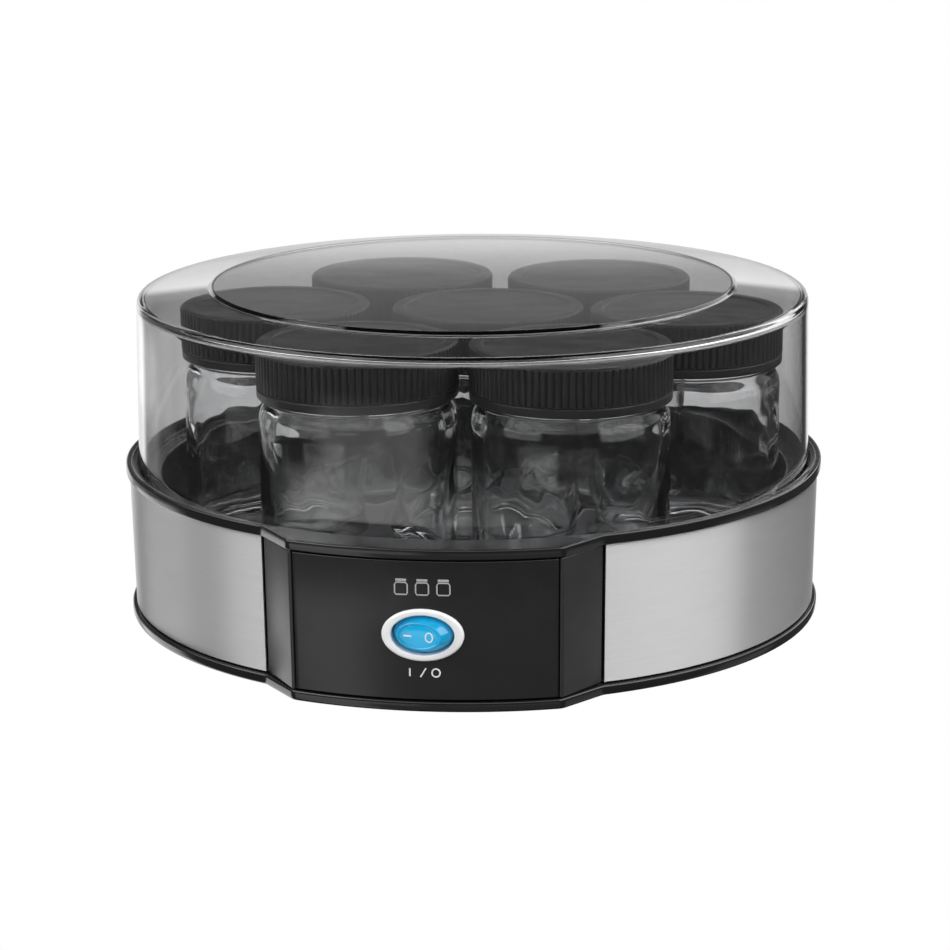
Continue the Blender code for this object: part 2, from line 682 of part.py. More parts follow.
def wiring(axis):
    """Leads from the body axis, each a little clear of the parts it joins."""
    blade_y = -FACE_R - BLADE_DEPTHS[1] + WIRE_R + 0.4 * MM
    blade_z = SWITCH_Z - 2 * MM
    block_y = BLOCK_Y - BLOCK_HALF[1] - WIRE_R - 0.4 * MM
    fuse_x = FUSE_HALF + WIRE_R + 0.4 * MM
    can_y = THERMOSTAT_R + WIRE_R + 0.4 * MM
    element_z = (LIP_LOW_Z + LIP_TOP_Z) / 2
    under_block = [(6.0, block_y / MM, 11.0)]
    line = [(-5.0, blade_y / MM, blade_z / MM), (-5.0, blade_y / MM, 17.0)]
    load = [(5.0, blade_y / MM, blade_z / MM), (5.0, blade_y / MM, 17.0)]
    can_in = [(THERMOSTAT_X / MM, -can_y / MM, 15.0)]
    can_out = [(THERMOSTAT_X / MM, can_y / MM, 15.0)]
    fuse_in = [(fuse_x / MM, FUSE_Y / MM, FUSE_Z / MM)]
    fuse_out = [(-fuse_x / MM, FUSE_Y / MM, FUSE_Z / MM)]
    element_in = [(-8.5, HEATER_LEAD_Y / MM, element_z / MM)]
    element_out = [(8.5, HEATER_LEAD_Y / MM, element_z / MM)]
    wire("wire_block_switch", [
        (-6.0, block_y / MM, 11.0), (-7, 60, 9), (-9, 0, 8), (-8, -70, 8), (-6, -104, 10), *line[::-1]], axis)
    wire("wire_switch_thermostat", [*load, (7, -104, 10), (16, -60, 9), (27, -20, 11), *can_in], axis)
    wire("wire_thermostat_fuse", [*can_out, (29, 20, 13), (20, 31, 15), *fuse_in], axis)
    wire("wire_fuse_heater", [*fuse_out, (-12, 42, 16), (-9, 55, 17), (-6, 60, 20), *element_in], axis)
    wire("wire_heater_block", [*element_out, (6, 60, 20), (7, 62, 16), (6, 70, 11), *under_block], axis)


# ---- Feet and screws ----

def feet_and_screws(axis):
    foot = [
        (0, 0),
        (FOOT_R - 0.7 * MM, 0),
        (FOOT_R, 0.7 * MM),
        (FOOT_R, FLOOR_LOW_Z - GAP),
        (FOOT_STEM_R, FLOOR_LOW_Z - GAP),
        (FOOT_STEM_R, FLOOR_TOP_Z + GAP),
        (FOOT_BARB_R, FLOOR_TOP_Z + GAP),
        (FOOT_BARB_R - 0.7 * MM, FLOOR_TOP_Z + 1.8 * MM),
        (0, FLOOR_TOP_Z + 1.8 * MM),
    ]
    for spot, angle in FOOT_SPOTS.items():
        turned(f"foot_{spot}", foot, full_turn(14), "rubber", axis).location = polar(FOOT_RING_R, angle)
    head_top = FLOOR_LOW_Z + 1.1 * MM
    screw = [
        (0, FLOOR_LOW_Z),
        (SCREW_HEAD_R - 0.6 * MM, FLOOR_LOW_Z),
        (SCREW_HEAD_R, FLOOR_LOW_Z + 0.5 * MM),
        (SCREW_HEAD_R, head_top),
        (SCREW_SHANK_R, head_top),
        (SCREW_SHANK_R, SCREW_TIP_Z - 1.5 * MM),
        (0, SCREW_TIP_Z),
    ]
    for spot, angle in SCREW_SPOTS.items():
        turned(f"base_screw_{spot}", screw, full_turn(10), "zinc", axis).location = polar(SCREW_RING_R, angle)


# ---- Lid and jars ----

def dome_lid(axis):
    foot_z = LID_SEAT_Z + GAP
    shoulder, disc = LID_SHOULDER_R, LID_DISC_R
    outer = [
        (LID_FOOT_R, foot_z),
        (shoulder, LID_SHOULDER_Z - 2.2 * MM),
        (shoulder - 0.7 * MM, LID_SHOULDER_Z - 0.7 * MM),
        (shoulder - 2.2 * MM, LID_SHOULDER_Z),
        (disc + 3.6 * MM, LID_SHOULDER_Z + 0.9 * MM),
        (disc + 0.8 * MM, LID_SHOULDER_Z + 1.9 * MM),
        (disc - 1.8 * MM, LID_TOP_Z - 0.2 * MM),
        (0, LID_TOP_Z),
    ]
    inner = [
        (0, LID_TOP_Z - LID_WALL),
        (disc - 2.6 * MM, LID_TOP_Z - 0.2 * MM - LID_WALL),
        (disc + 0.2 * MM, LID_SHOULDER_Z + 0.1 * MM),
        (disc + 3.4 * MM, LID_SHOULDER_Z + 0.9 * MM - LID_WALL),
        (shoulder - 3.0 * MM, LID_SHOULDER_Z - LID_WALL),
        (shoulder - LID_WALL, LID_SHOULDER_Z - 3.0 * MM),
        (LID_FOOT_R - LID_WALL, foot_z),
    ]
    bm = bmesh.new()
    rows = spun_rows(bm, outer + inner, full_turn(48))
    bridge(bm, rows)
    bridge(bm, [rows[-1], rows[0]])
    mesh_object("dome_lid", bm, "smoke_clear", axis)


def jar(name, place):
    body, neck, low, high = JAR_BODY_R, JAR_NECK_R, JAR_FLOOR_Z, JAR_SHOULDER_Z
    profile = [
        (0, low),
        (body - 5.5 * MM, low),
        (body - 1.4 * MM, low + 1.4 * MM),
        (body, low + 5.5 * MM),
        (body, high),
        (neck, high + 5.4 * MM),
        (neck, JAR_RIM_Z),
        (neck - JAR_WALL, JAR_RIM_Z),
        (neck - JAR_WALL, high + 4.8 * MM),
        (body - JAR_WALL, high),
        (body - JAR_WALL, low + 6.5 * MM),
        (body - JAR_WALL - 3.4 * MM, low + 3.6 * MM),
        (0, low + 3.6 * MM),
    ]
    turned(name, profile, full_turn(JAR_SIDES), "jar_glass", place)


def cap(name, place):
    under = JAR_RIM_Z + 2 * GAP + SEAL_THICK
    profile = [
        (0, under),
        (CAP_R - CAP_WALL, under),
        (CAP_R - CAP_WALL, CAP_LOW_Z),
        (CAP_R, CAP_LOW_Z),
        (CAP_R, CAP_TOP_Z - 0.7 * MM),
        (CAP_R - 0.7 * MM, CAP_TOP_Z),
        (CAP_R - 4.2 * MM, CAP_TOP_Z),
        (CAP_R - 4.8 * MM, CAP_TOP_Z - 0.8 * MM),
        (0, CAP_TOP_Z - 0.8 * MM),
    ]
    turned(name, profile, full_turn(JAR_SIDES), "cap_black", place)


def seal(name, place):
    low = JAR_RIM_Z + GAP
    profile = [(0, low), (SEAL_R, low), (SEAL_R, low + SEAL_THICK), (0, low + SEAL_THICK)]
    turned(name, profile, full_turn(JAR_SIDES), "seal_white", place)


def jar_places():
    """Centres of the seven jars from the body axis; the first is the middle one."""
    places = [Vector()] + [polar(JAR_RING_R, JAR_TURN + 60 * i) for i in range(6)]
    return [place + Vector((*slip, 0)) for place, slip in zip(places, JAR_SLIPS)]


def jars(axis):
    for number, spot in enumerate(jar_places(), start=1):
        place = empty(f"jar_{number}_axis", spot, axis)
        jar(f"jar_{number}", place)
        seal(f"jar_seal_{number}", place)
        cap(f"jar_cap_{number}", place)


def build():
    clear_scene()
    axis = empty("body_axis", (0, AXIS_Y, 0))
    upper_housing(axis)
    base_plate(axis)
    steel_panels(axis)
    cord_entry(axis)
    control_panel(axis)
    switch_bezel(axis)
    switch_rocker(axis)
    switch_insides(axis)
    heater_stack(axis)
    protection(axis)
    wiring(axis)
    feet_and_screws(axis)
    dome_lid(axis)
    jars(axis)


build()
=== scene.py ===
import math

import bmesh
import bpy
from mathutils import Matrix, Vector, noise


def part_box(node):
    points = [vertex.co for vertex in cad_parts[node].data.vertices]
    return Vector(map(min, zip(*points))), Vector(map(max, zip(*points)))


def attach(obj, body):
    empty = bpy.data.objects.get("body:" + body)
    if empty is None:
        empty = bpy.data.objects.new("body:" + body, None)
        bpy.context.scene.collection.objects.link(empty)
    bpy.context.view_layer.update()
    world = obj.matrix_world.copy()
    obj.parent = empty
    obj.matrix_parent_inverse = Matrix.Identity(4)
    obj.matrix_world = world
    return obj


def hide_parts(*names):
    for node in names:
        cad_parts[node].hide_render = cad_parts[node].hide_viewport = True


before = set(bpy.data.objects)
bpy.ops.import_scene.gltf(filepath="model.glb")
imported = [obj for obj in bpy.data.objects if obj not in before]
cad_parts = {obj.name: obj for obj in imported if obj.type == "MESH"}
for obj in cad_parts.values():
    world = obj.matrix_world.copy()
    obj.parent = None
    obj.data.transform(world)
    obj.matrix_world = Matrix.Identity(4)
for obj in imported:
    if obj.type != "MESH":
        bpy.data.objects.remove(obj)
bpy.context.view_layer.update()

MM = 0.001
SMALL_GAP = 0.3 * MM
CORNERS = ("front_left", "front_right", "rear_left", "rear_right")
JARS = range(1, 8)

# ---- What the frame says: axes, radii and heights ----

LID_LOW, LID_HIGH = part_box("dome_lid")
AXIS = Vector(((LID_LOW.x + LID_HIGH.x) / 2, (LID_LOW.y + LID_HIGH.y) / 2, 0))
HOUSING_LOW, HOUSING_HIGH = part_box("upper_housing")
COVER_LOW, COVER_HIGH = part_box("base_plate")
STEEL_LOW, STEEL_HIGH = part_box("steel_panel_right")
POD_LOW, POD_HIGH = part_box("control_housing")
FASCIA_LOW, FASCIA_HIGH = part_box("control_fascia")
BEZEL_LOW, BEZEL_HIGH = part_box("switch_bezel")
ROCKER_LOW, ROCKER_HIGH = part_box("switch_rocker")
REAR_LOW, REAR_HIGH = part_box("rear_panel")
PLATE_LOW, PLATE_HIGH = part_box("heating_plate")
GLAND_LOW, GLAND_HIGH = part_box("cord_gland")

FLANGE_R = HOUSING_HIGH.x - AXIS.x
FLANGE_FRONT_R = AXIS.y - HOUSING_LOW.y
FLANGE_TOP_Z = HOUSING_HIGH.z
RIM_R = COVER_HIGH.x - AXIS.x
RIM_FRONT_R = AXIS.y - COVER_LOW.y
WALL_LOW_Z, WALL_HIGH_Z = STEEL_LOW.z, STEEL_HIGH.z
FRONT_TOP_R = AXIS.y - FASCIA_LOW.y
REAR_TOP_R = REAR_HIGH.y - AXIS.y
SWITCH_Z = (BEZEL_LOW.z + BEZEL_HIGH.z) / 2
GLAND_Z = (GLAND_LOW.z + GLAND_HIGH.z) / 2
LID_FOOT_R = LID_HIGH.x - AXIS.x

# ---- What the boxes don't say: the walls, and the well that the jars stand in ----

WALL_LEAN = 0.9 * MM  # how far the wall leans out from its foot to its top
WALL = 1.9 * MM
STEEL_THICK = 0.6 * MM
PANEL_THICK = 1.6 * MM
LID_THICK = 2.0 * MM
STEEL_TOP_R = 119.2 * MM
HOUSING_TOP_R = 117.8 * MM
WELL_R = 107.0 * MM
WELL_MOUTH_R = 108.2 * MM
LIP_R = 97.0 * MM  # the lip under the hot plate's edge
LID_SEAT_Z = 52.0 * MM
LIP_TOP_Z = 23.7 * MM
LIP_LOW_Z = 22.0 * MM
GLAND_HOLE_R = 5.2 * MM
COVER_RECESS = 1.0 * MM  # how far the cover's floor lies above its rim

# Half angles about the body's axis, in degrees: the control panel's face, the face with its
# facets, the plate let into it, the rear panel
FRONT_HALF = 19.4
FACET_HALF = 27.0
FASCIA_HALF = 18.75
REAR_HALF = 8.2
SHEET_GAP = 0.3  # from a steel sheet's end to the panel beside it
CORNER_BLEND = 0.45  # to each side of the control panel's corners, which are rounded over
TURN_STEPS = 192
SHARP = 35  # an edge that turns more than this many degrees stays sharp

# The main view: where the camera stands, the point it looks at and its lens
VIEW_AZIMUTH = 7.13
VIEW_ELEVATION = 14.30
VIEW_DISTANCE = 1023.6 * MM
VIEW_ASIDE = 0.45 * MM
VIEW_Z = 45.5 * MM
VIEW_ROLL = -0.41
VIEW_LENS = 111.0
SENSOR = 36.0


# ---- Points, profiles and meshes ----

def steps(first, last, count):
    """Evenly spaced values from first to last, both included."""
    return [first + (last - first) * i / count for i in range(count + 1)]


def full_turn(count=TURN_STEPS):
    """Evenly spaced angles once round."""
    return [360 * i / count for i in range(count)]


def polar(radius, angle, z=0.0):
    """The point at this radius and angle round an upright axis through the origin."""
    turn = math.radians(angle)
    return Vector((radius * math.sin(turn), -radius * math.cos(turn), z))


def bumped_turn():
    """Angles round the body, close together at the four corners of the control panel."""
    fine = []
    for corner in (-FACET_HALF, -FRONT_HALF, FRONT_HALF, FACET_HALF):
        fine += steps(corner - 2 * CORNER_BLEND, corner + 2 * CORNER_BLEND, 10)
    coarse = [angle - 180 for angle in full_turn()]
    kept = [a for a in coarse if all(abs(a - b) > 0.4 for b in fine)]
    return sorted(fine + kept)


def sharp_reach(angle, side, front):
    """Distance from the axis of an outline that runs at `side`, and at `front` over the panel."""
    away = abs((angle + 180) % 360 - 180)
    if front == side or away > FACET_HALF:
        return side
    if away < FRONT_HALF:
        return front
    start = polar(front, FRONT_HALF)
    along = polar(side, FACET_HALF) - start
    ray = polar(1, away)
    share = (ray.x * start.y - ray.y * start.x) / (ray.y * along.x - ray.x * along.y)
    return (start + along * share).length


def reach(angle, side, front):
    """The same outline with its corners rounded over."""
    nearby = [sharp_reach(angle + CORNER_BLEND * i / 3, side, front) for i in range(-3, 4)]
    return sum(nearby) / len(nearby)


def filleted(points, count=4, closed=True):
    """Rounds the corners of a profile, whose points are (radius, z, front radius, fillet).

    The front radius holds over the control panel. It and the fillet may be absent.
    """
    full = []
    for radius, z, *more in points:
        front = more[0] if more and more[0] else radius
        full.append((Vector((radius, z, front)), more[1] if len(more) > 1 else 0))
    made = []
    for i, (corner, fillet) in enumerate(full):
        inside = closed or 0 < i < len(full) - 1
        if not (fillet and inside):
            made.append(corner)
            continue
        before = full[i - 1][0] - corner
        after = full[(i + 1) % len(full)][0] - corner
        pull_in = before.normalized() * min(fillet, before.length * 0.48)
        pull_out = after.normalized() * min(fillet, after.length * 0.48)
        for t in steps(0, 1, count):
            made.append(corner + pull_in * (1 - t) ** 2 + pull_out * t ** 2)
    return made


def bridge(bm, rows, round_rows=True, round_profile=False):
    """Faces between neighbouring rows of vertices; a row of one vertex is a pole."""
    pairs = list(zip(rows, rows[1:]))
    if round_profile:
        pairs.append((rows[-1], rows[0]))
    for low, high in pairs:
        count = max(len(low), len(high))
        for i in range(count if round_rows else count - 1):
            j = (i + 1) % count
            corners = [low[i % len(low)], low[j % len(low)], high[j % len(high)], high[i % len(high)]]
            corners = list(dict.fromkeys(corners))
            if len(corners) > 2:
                bm.faces.new(corners)


def piece_of(name, bm, material, sharp=SHARP):
    """Makes a closed bmesh into a named object, faces outwards, smooth but for its sharp edges."""
    bmesh.ops.recalc_face_normals(bm, faces=bm.faces)
    mesh = bpy.data.meshes.new(name)
    bm.to_mesh(mesh)
    bm.free()
    mesh.shade_smooth()
    mesh.set_sharp_from_angle(angle=math.radians(sharp))
    mesh.materials.append(material)
    piece = bpy.data.objects.new(name, mesh)
    bpy.context.scene.collection.objects.link(piece)
    return piece


def turned_mesh(profile, angles=None, centre=AXIS, shape=None):
    """Turns a filleted profile about an upright axis; shape(radius, z, angle) may change the radius."""
    bm = bmesh.new()
    angles = angles or full_turn()
    rows = []
    for radius, z, front in profile:
        if radius == 0:
            rows.append([bm.verts.new(centre + Vector((0, 0, z)))])
            continue
        row = []
        for angle in angles:
            r = reach(angle, radius, front)
            row.append(bm.verts.new(centre + polar(shape(r, z, angle) if shape else r, angle, z)))
        rows.append(row)
    bridge(bm, rows, round_profile=len(rows[0]) > 1)
    return bm


def lofted_mesh(outlines, ring=False):
    """A solid through outlines with equal point counts; a ring's last outline meets its first."""
    bm = bmesh.new()
    rows = [[bm.verts.new(point) for point in outline] for outline in outlines]
    bridge(bm, rows, round_profile=ring)
    if not ring:
        bm.faces.new(rows[0])
        bm.faces.new(rows[-1])
    return bm


def lean(top_radius, z):
    """A leaning wall's radius at height z, from its radius at the top."""
    return top_radius - WALL_LEAN * (WALL_HIGH_Z - z) / (WALL_HIGH_Z - WALL_LOW_Z)


def plate_mesh(top_radius, thick, low, high, angles):
    """A plate that follows the leaning round wall."""
    bm = bmesh.new()
    rows = []
    for depth, z in ((thick, low), (0, low), (0, high), (thick, high)):
        radius = lean(top_radius, z) - depth
        rows.append([bm.verts.new(AXIS + polar(radius, angle, z)) for angle in angles])
    bridge(bm, rows, round_rows=False, round_profile=True)
    bm.faces.new([row[0] for row in rows])
    bm.faces.new([row[-1] for row in rows])
    return bm


def add_cylinder(bm, radius, low, high, place, count=48):
    """Adds a cylinder round Z from low to high, moved by the matrix `place`."""
    made = bmesh.ops.create_cone(
        bm, cap_ends=True, segments=count, radius1=radius, radius2=radius, depth=high - low)
    middle = Matrix.Translation((0, 0, (low + high) / 2))
    bmesh.ops.transform(bm, matrix=place @ middle, verts=made["verts"])


def add_box(bm, low, high, place=Matrix()):
    """Adds a box between two corners, moved by the matrix `place`."""
    low, high = Vector(low), Vector(high)
    made = bmesh.ops.create_cube(bm, size=1)
    size = Matrix.Translation((low + high) / 2) @ Matrix.Diagonal((*(high - low), 1))
    bmesh.ops.transform(bm, matrix=place @ size, verts=made["verts"])


def upright(spot):
    """A frame on the floor under a point."""
    return Matrix.Translation((spot.x, spot.y, 0))


def rearward(z):
    """A frame on the body axis at height z whose Z axis points to the rear."""
    return Matrix.Translation((AXIS.x, AXIS.y, z)) @ Matrix.Rotation(math.radians(-90), 4, "X")


def bake_modifiers(piece):
    """Gives the piece the mesh that its modifiers make, and removes them."""
    depsgraph = bpy.context.evaluated_depsgraph_get()
    mesh = bpy.data.meshes.new_from_object(piece.evaluated_get(depsgraph))
    piece.modifiers.clear()
    piece.data = mesh


def cut(piece, bm):
    """Cuts a closed bmesh out of a piece."""
    guide = piece_of("guide", bm, piece.data.materials[0])
    change = piece.modifiers.new("cut", "BOOLEAN")
    change.operation = "DIFFERENCE"
    change.object = guide
    bake_modifiers(piece)
    bpy.data.objects.remove(guide, do_unlink=True)
    piece.data.set_sharp_from_angle(angle=math.radians(SHARP))


def soften(piece, width, count=3):
    """Rounds a piece's sharp edges."""
    change = piece.modifiers.new("soften", "BEVEL")
    change.width = width
    change.segments = count
    change.limit_method = "ANGLE"
    change.angle_limit = math.radians(SHARP)
    bake_modifiers(piece)


def place_in(piece, body, slot, *nodes):
    """Rides a piece on a body and hides the CAD nodes that it replaces. The slot is not used."""
    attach(piece, body)
    if nodes:
        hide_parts(*nodes)


def under_middle(low, high):
    """The point on the floor under the middle of a box."""
    middle = (low + high) / 2
    return Vector((middle.x, middle.y, 0))


# ---- Materials ----

class NodeTree:
    """A node tree, with short calls for the nodes that the studio and the finishes use."""

    def __init__(self, tree):
        self.tree = tree

    def link(self, source, target):
        """Feeds a socket from another socket, or sets it to a plain value."""
        if hasattr(source, "is_output"):
            self.tree.links.new(source, target)
        else:
            target.default_value = source

    def math(self, operation, first, second=0.0):
        node = self.tree.nodes.new("ShaderNodeMath")
        node.operation = operation
        self.link(first, node.inputs[0])
        self.link(second, node.inputs[1])
        return node.outputs[0]

    def ramp(self, source, low, high, first=0.3, last=0.7):
        """Runs smoothly from low to high while the source runs from first to last."""
        node = self.tree.nodes.new("ShaderNodeMapRange")
        node.interpolation_type = "SMOOTHSTEP"
        self.link(source, node.inputs["Value"])
        node.inputs["From Min"].default_value = first
        node.inputs["From Max"].default_value = last
        node.inputs["To Min"].default_value = low
        node.inputs["To Max"].default_value = high
        return node.outputs["Result"]


class Nodes(NodeTree):
    """A material's node tree round one Principled shader."""

    def __init__(self, name, colour, **plain):
        self.material = bpy.data.materials.new(name)
        self.material.use_nodes = True
        super().__init__(self.material.node_tree)
        self.shader = self.tree.nodes["Principled BSDF"]
        self.shader.inputs["Base Color"].default_value = (*colour, 1)
        for socket, value in plain.items():
            self.shader.inputs[socket.replace("_", " ")].default_value = value
        self.place = self.tree.nodes.new("ShaderNodeTexCoord").outputs["Object"]

    def noise(self, scale, detail=3.0, vector=None, roughness=0.5):
        node = self.tree.nodes.new("ShaderNodeTexNoise")
        node.inputs["Scale"].default_value = scale
        node.inputs["Detail"].default_value = detail
        node.inputs["Roughness"].default_value = roughness
        self.link(vector or self.place, node.inputs["Vector"])
        return node.outputs["Fac"]

    def mix(self, share, first, second):
        node = self.tree.nodes.new("ShaderNodeMix")
        node.data_type = "RGBA"
        self.link(share, node.inputs["Factor"])
        node.inputs["A"].default_value = (*first, 1)
        node.inputs["B"].default_value = (*second, 1)
        return node.outputs["Result"]

    def bump(self, height, strength, distance):
        node = self.tree.nodes.new("ShaderNodeBump")
        node.inputs["Strength"].default_value = strength
        node.inputs["Distance"].default_value = distance
        self.link(height, node.inputs["Height"])
        self.link(node.outputs["Normal"], self.shader.inputs["Normal"])

    def into(self, source, socket):
        self.link(source, self.shader.inputs[socket])

    def around(self, along, across):
        """Coordinates that run round the body axis and up it, scaled apart to draw a grain."""
        split = self.tree.nodes.new("ShaderNodeSeparateXYZ")
        self.link(self.place, split.inputs[0])
        y = self.math("SUBTRACT", split.outputs["Y"], AXIS.y)
        x = self.math("SUBTRACT", split.outputs["X"], AXIS.x)
        turn = self.math("ARCTAN2", y, x)
        join = self.tree.nodes.new("ShaderNodeCombineXYZ")
        self.link(self.math("MULTIPLY", turn, along), join.inputs["X"])
        self.link(self.math("MULTIPLY", split.outputs["Z"], across), join.inputs["Y"])
        return join.outputs[0]


def moulded(name, colour, roughness, grain, depth, drift=0.05):
    """Moulded plastic or rubber: a fine surface grain, and gloss that drifts a little over the piece."""
    made = Nodes(name, colour, Roughness=roughness)
    cloud = made.noise(28.0, 4.0)
    made.into(made.ramp(cloud, roughness - drift, roughness + drift), "Roughness")
    lighter = tuple(min(1, c * 1.18 + 0.0015) for c in colour)
    darker = tuple(c * 0.86 for c in colour)
    made.into(made.mix(made.noise(140.0), darker, lighter), "Base Color")
    made.bump(made.noise(grain, 2.0), 0.35, depth * MM)
    return made.material


def brushed(name, colour, roughness, along=6.0, across=2600.0, drift=0.04):
    """Metal brushed round the body: long fine scratches in the gloss, colour and relief."""
    made = Nodes(name, colour, Metallic=1.0, Roughness=roughness, Anisotropic=1.0)
    fine = made.noise(1.0, 4.0, made.around(along, across), 0.65)
    broad = made.noise(1.0, 2.0, made.around(along * 0.6, across * 0.3))
    blend = made.math("ADD", made.math("MULTIPLY", fine, 0.8), made.math("MULTIPLY", broad, 0.2))
    made.into(made.ramp(blend, roughness - drift, roughness + drift), "Roughness")
    darker, lighter = tuple(c * 0.86 for c in colour), tuple(c * 1.12 for c in colour)
    made.into(made.mix(blend, darker, lighter), "Base Color")
    made.bump(fine, 0.12, 0.02 * MM)
    tangent = made.tree.nodes.new("ShaderNodeTangent")
    tangent.direction_type = "UV_MAP"
    made.into(tangent.outputs[0], "Tangent")
    return made.material


def cap_plastic():
    """Satin black plastic whose broad faces sank a little in the mould, so their sheen is uneven."""
    made = Nodes("cap_plastic", (0.010, 0.010, 0.0105), Roughness=0.33)
    sunk = made.noise(60.0, 1.0)
    made.into(made.ramp(made.noise(35.0), 0.28, 0.38), "Roughness")
    darker, lighter = (0.0085, 0.0085, 0.009), (0.013, 0.013, 0.0135)
    made.into(made.mix(made.noise(140.0), darker, lighter), "Base Color")
    grain = made.math("MULTIPLY", made.noise(1600.0, 2.0), 0.015)
    made.bump(made.math("ADD", sunk, grain), 1.0, 1.5 * MM)
    return made.material


def plated(name, colour, roughness):
    """Zinc or brass: mottled gloss with a fine grain."""
    made = Nodes(name, colour, Metallic=1.0, Roughness=roughness)
    made.into(made.ramp(made.noise(220.0, 5.0), roughness - 0.1, roughness + 0.1), "Roughness")
    made.into(made.mix(made.noise(60.0), tuple(c * 0.85 for c in colour), colour), "Base Color")
    made.bump(made.noise(1600.0), 0.2, 0.02 * MM)
    return made.material


def clear(name, colour, ior, swell, depth, density):
    """Clear glass or acrylic: its faces not quite flat, and darker where light runs far inside it."""
    made = Nodes(name, colour, Roughness=0.0, IOR=ior)
    made.shader.inputs["Transmission Weight"].default_value = 1.0
    made.into(made.mix(made.noise(9.0), tuple(c * 0.97 for c in colour), colour), "Base Color")
    made.bump(made.noise(swell, 1.0), 0.6, depth * MM)
    inside = made.tree.nodes.new("ShaderNodeVolumeAbsorption")
    inside.inputs["Color"].default_value = (0.5, 0.5, 0.5, 1)
    inside.inputs["Density"].default_value = density
    made.link(inside.outputs[0], made.tree.nodes["Material Output"].inputs["Volume"])
    return made.material


def lit_blue():
    """Translucent blue plastic lit from behind: bright in the middle and deep at the rim."""
    made = Nodes("lit_blue_plastic", (0.01, 0.30, 0.62), Roughness=0.1, IOR=1.49)
    made.shader.inputs["Coat Weight"].default_value = 0.15
    made.shader.inputs["Coat Roughness"].default_value = 0.04
    made.shader.inputs["Emission Strength"].default_value = 0.36
    middle = (ROCKER_LOW + ROCKER_HIGH) / 2
    split = made.tree.nodes.new("ShaderNodeSeparateXYZ")
    made.link(made.place, split.inputs[0])
    wide = made.math("DIVIDE", made.math("SUBTRACT", split.outputs["X"], middle.x), 10.5 * MM)
    tall = made.math("DIVIDE", made.math("SUBTRACT", split.outputs["Z"], SWITCH_Z), 7.2 * MM)
    away = made.math("ADD", made.math("MULTIPLY", wide, wide), made.math("MULTIPLY", tall, tall))
    cloud = made.math("MULTIPLY", made.noise(260.0, 4.0), 0.35)
    share = made.ramp(made.math("ADD", away, cloud), 0.0, 1.0, 0.15, 1.15)
    made.into(made.mix(share, (0.006, 0.33, 0.60), (0.004, 0.16, 0.32)), "Base Color")
    made.into(made.mix(share, (0.004, 0.34, 0.60), (0.006, 0.14, 0.26)), "Emission Color")
    made.bump(made.noise(500.0, 2.0), 0.15, 0.05 * MM)
    return made.material


def coated_plate():
    """Dark non-stick coat with a fine fleck."""
    made = Nodes("coated_plate", (0.05, 0.05, 0.054), Metallic=0.4, Roughness=0.38)
    fleck = made.noise(1500.0, 5.0)
    made.into(made.mix(fleck, (0.030, 0.030, 0.033), (0.085, 0.085, 0.09)), "Base Color")
    made.into(made.ramp(made.noise(40.0), 0.30, 0.44), "Roughness")
    made.bump(fleck, 0.25, 0.04 * MM)
    return made.material


GLOSS_BLACK = moulded("gloss_black_plastic", (0.011, 0.011, 0.012), 0.14, 700.0, 0.02, 0.03)
SATIN_BLACK = moulded("satin_black_plastic", (0.022, 0.022, 0.023), 0.36, 2200.0, 0.03)
FASCIA_BLACK = moulded("fascia_plastic", (0.012, 0.012, 0.0125), 0.27, 1800.0, 0.015, 0.02)
CAP_BLACK = cap_plastic()
RUBBER = moulded("rubber", (0.018, 0.018, 0.018), 0.72, 2600.0, 0.06)
SEAL_WHITE = moulded("seal_polyethylene", (0.78, 0.78, 0.76), 0.55, 1200.0, 0.03)
SWITCH_WHITE = moulded("switch_white_plastic", (0.92, 0.925, 0.93), 0.24, 1200.0, 0.01, 0.03)
WIRE_RED = moulded("wire_sleeve", (0.42, 0.03, 0.02), 0.5, 1500.0, 0.03)
CERAMIC = moulded("ceramic", (0.76, 0.73, 0.66), 0.55, 1800.0, 0.05)
MICA = moulded("mica_sheet", (0.42, 0.35, 0.24), 0.5, 300.0, 0.08, 0.12)
PRINT_GREY = moulded("print_grey", (0.42, 0.42, 0.42), 0.45, 2500.0, 0.005)
PRINT_WHITE = moulded("print_white", (0.80, 0.80, 0.80), 0.4, 2500.0, 0.005)
STEEL = brushed("brushed_steel", (0.60, 0.60, 0.605), 0.45)
ZINC = plated("zinc_plate", (0.55, 0.55, 0.56), 0.38)
BRASS = plated("brass", (0.72, 0.52, 0.22), 0.3)
SMOKE_CLEAR = clear("smoke_acrylic", (0.85, 0.85, 0.855), 1.49, 14.0, 0.02, 120.0)
JAR_GLASS = clear("jar_glass", (0.985, 0.99, 0.99), 1.5, 55.0, 0.2, 5.0)
LIT_BLUE = lit_blue()
PLATE_COAT = coated_plate()

CARRIED_OVER = (
    (SATIN_BLACK, ["switch_body"]),
    (BRASS, ["switch_blade_line", "switch_blade_load"]),
    (JAR_GLASS, ["indicator_lamp"]),
    (MICA, ["heater_element"]),
    (ZINC, ["heat_shield", "shield_nut", "thermostat"]),
    (CERAMIC, ["thermal_fuse", "terminal_block"]),
    (WIRE_RED, ["wire_block_switch", "wire_switch_thermostat", "wire_thermostat_fuse",
                "wire_fuse_heater", "wire_heater_block"]),
)


def finish_carried_over():
    """Gives the CAD pieces that stay as they are their finishes."""
    for material, names in CARRIED_OVER:
        for name in names:
            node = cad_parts[name]
            node.data.materials.clear()
            node.data.materials.append(material)


# ---- Base ----

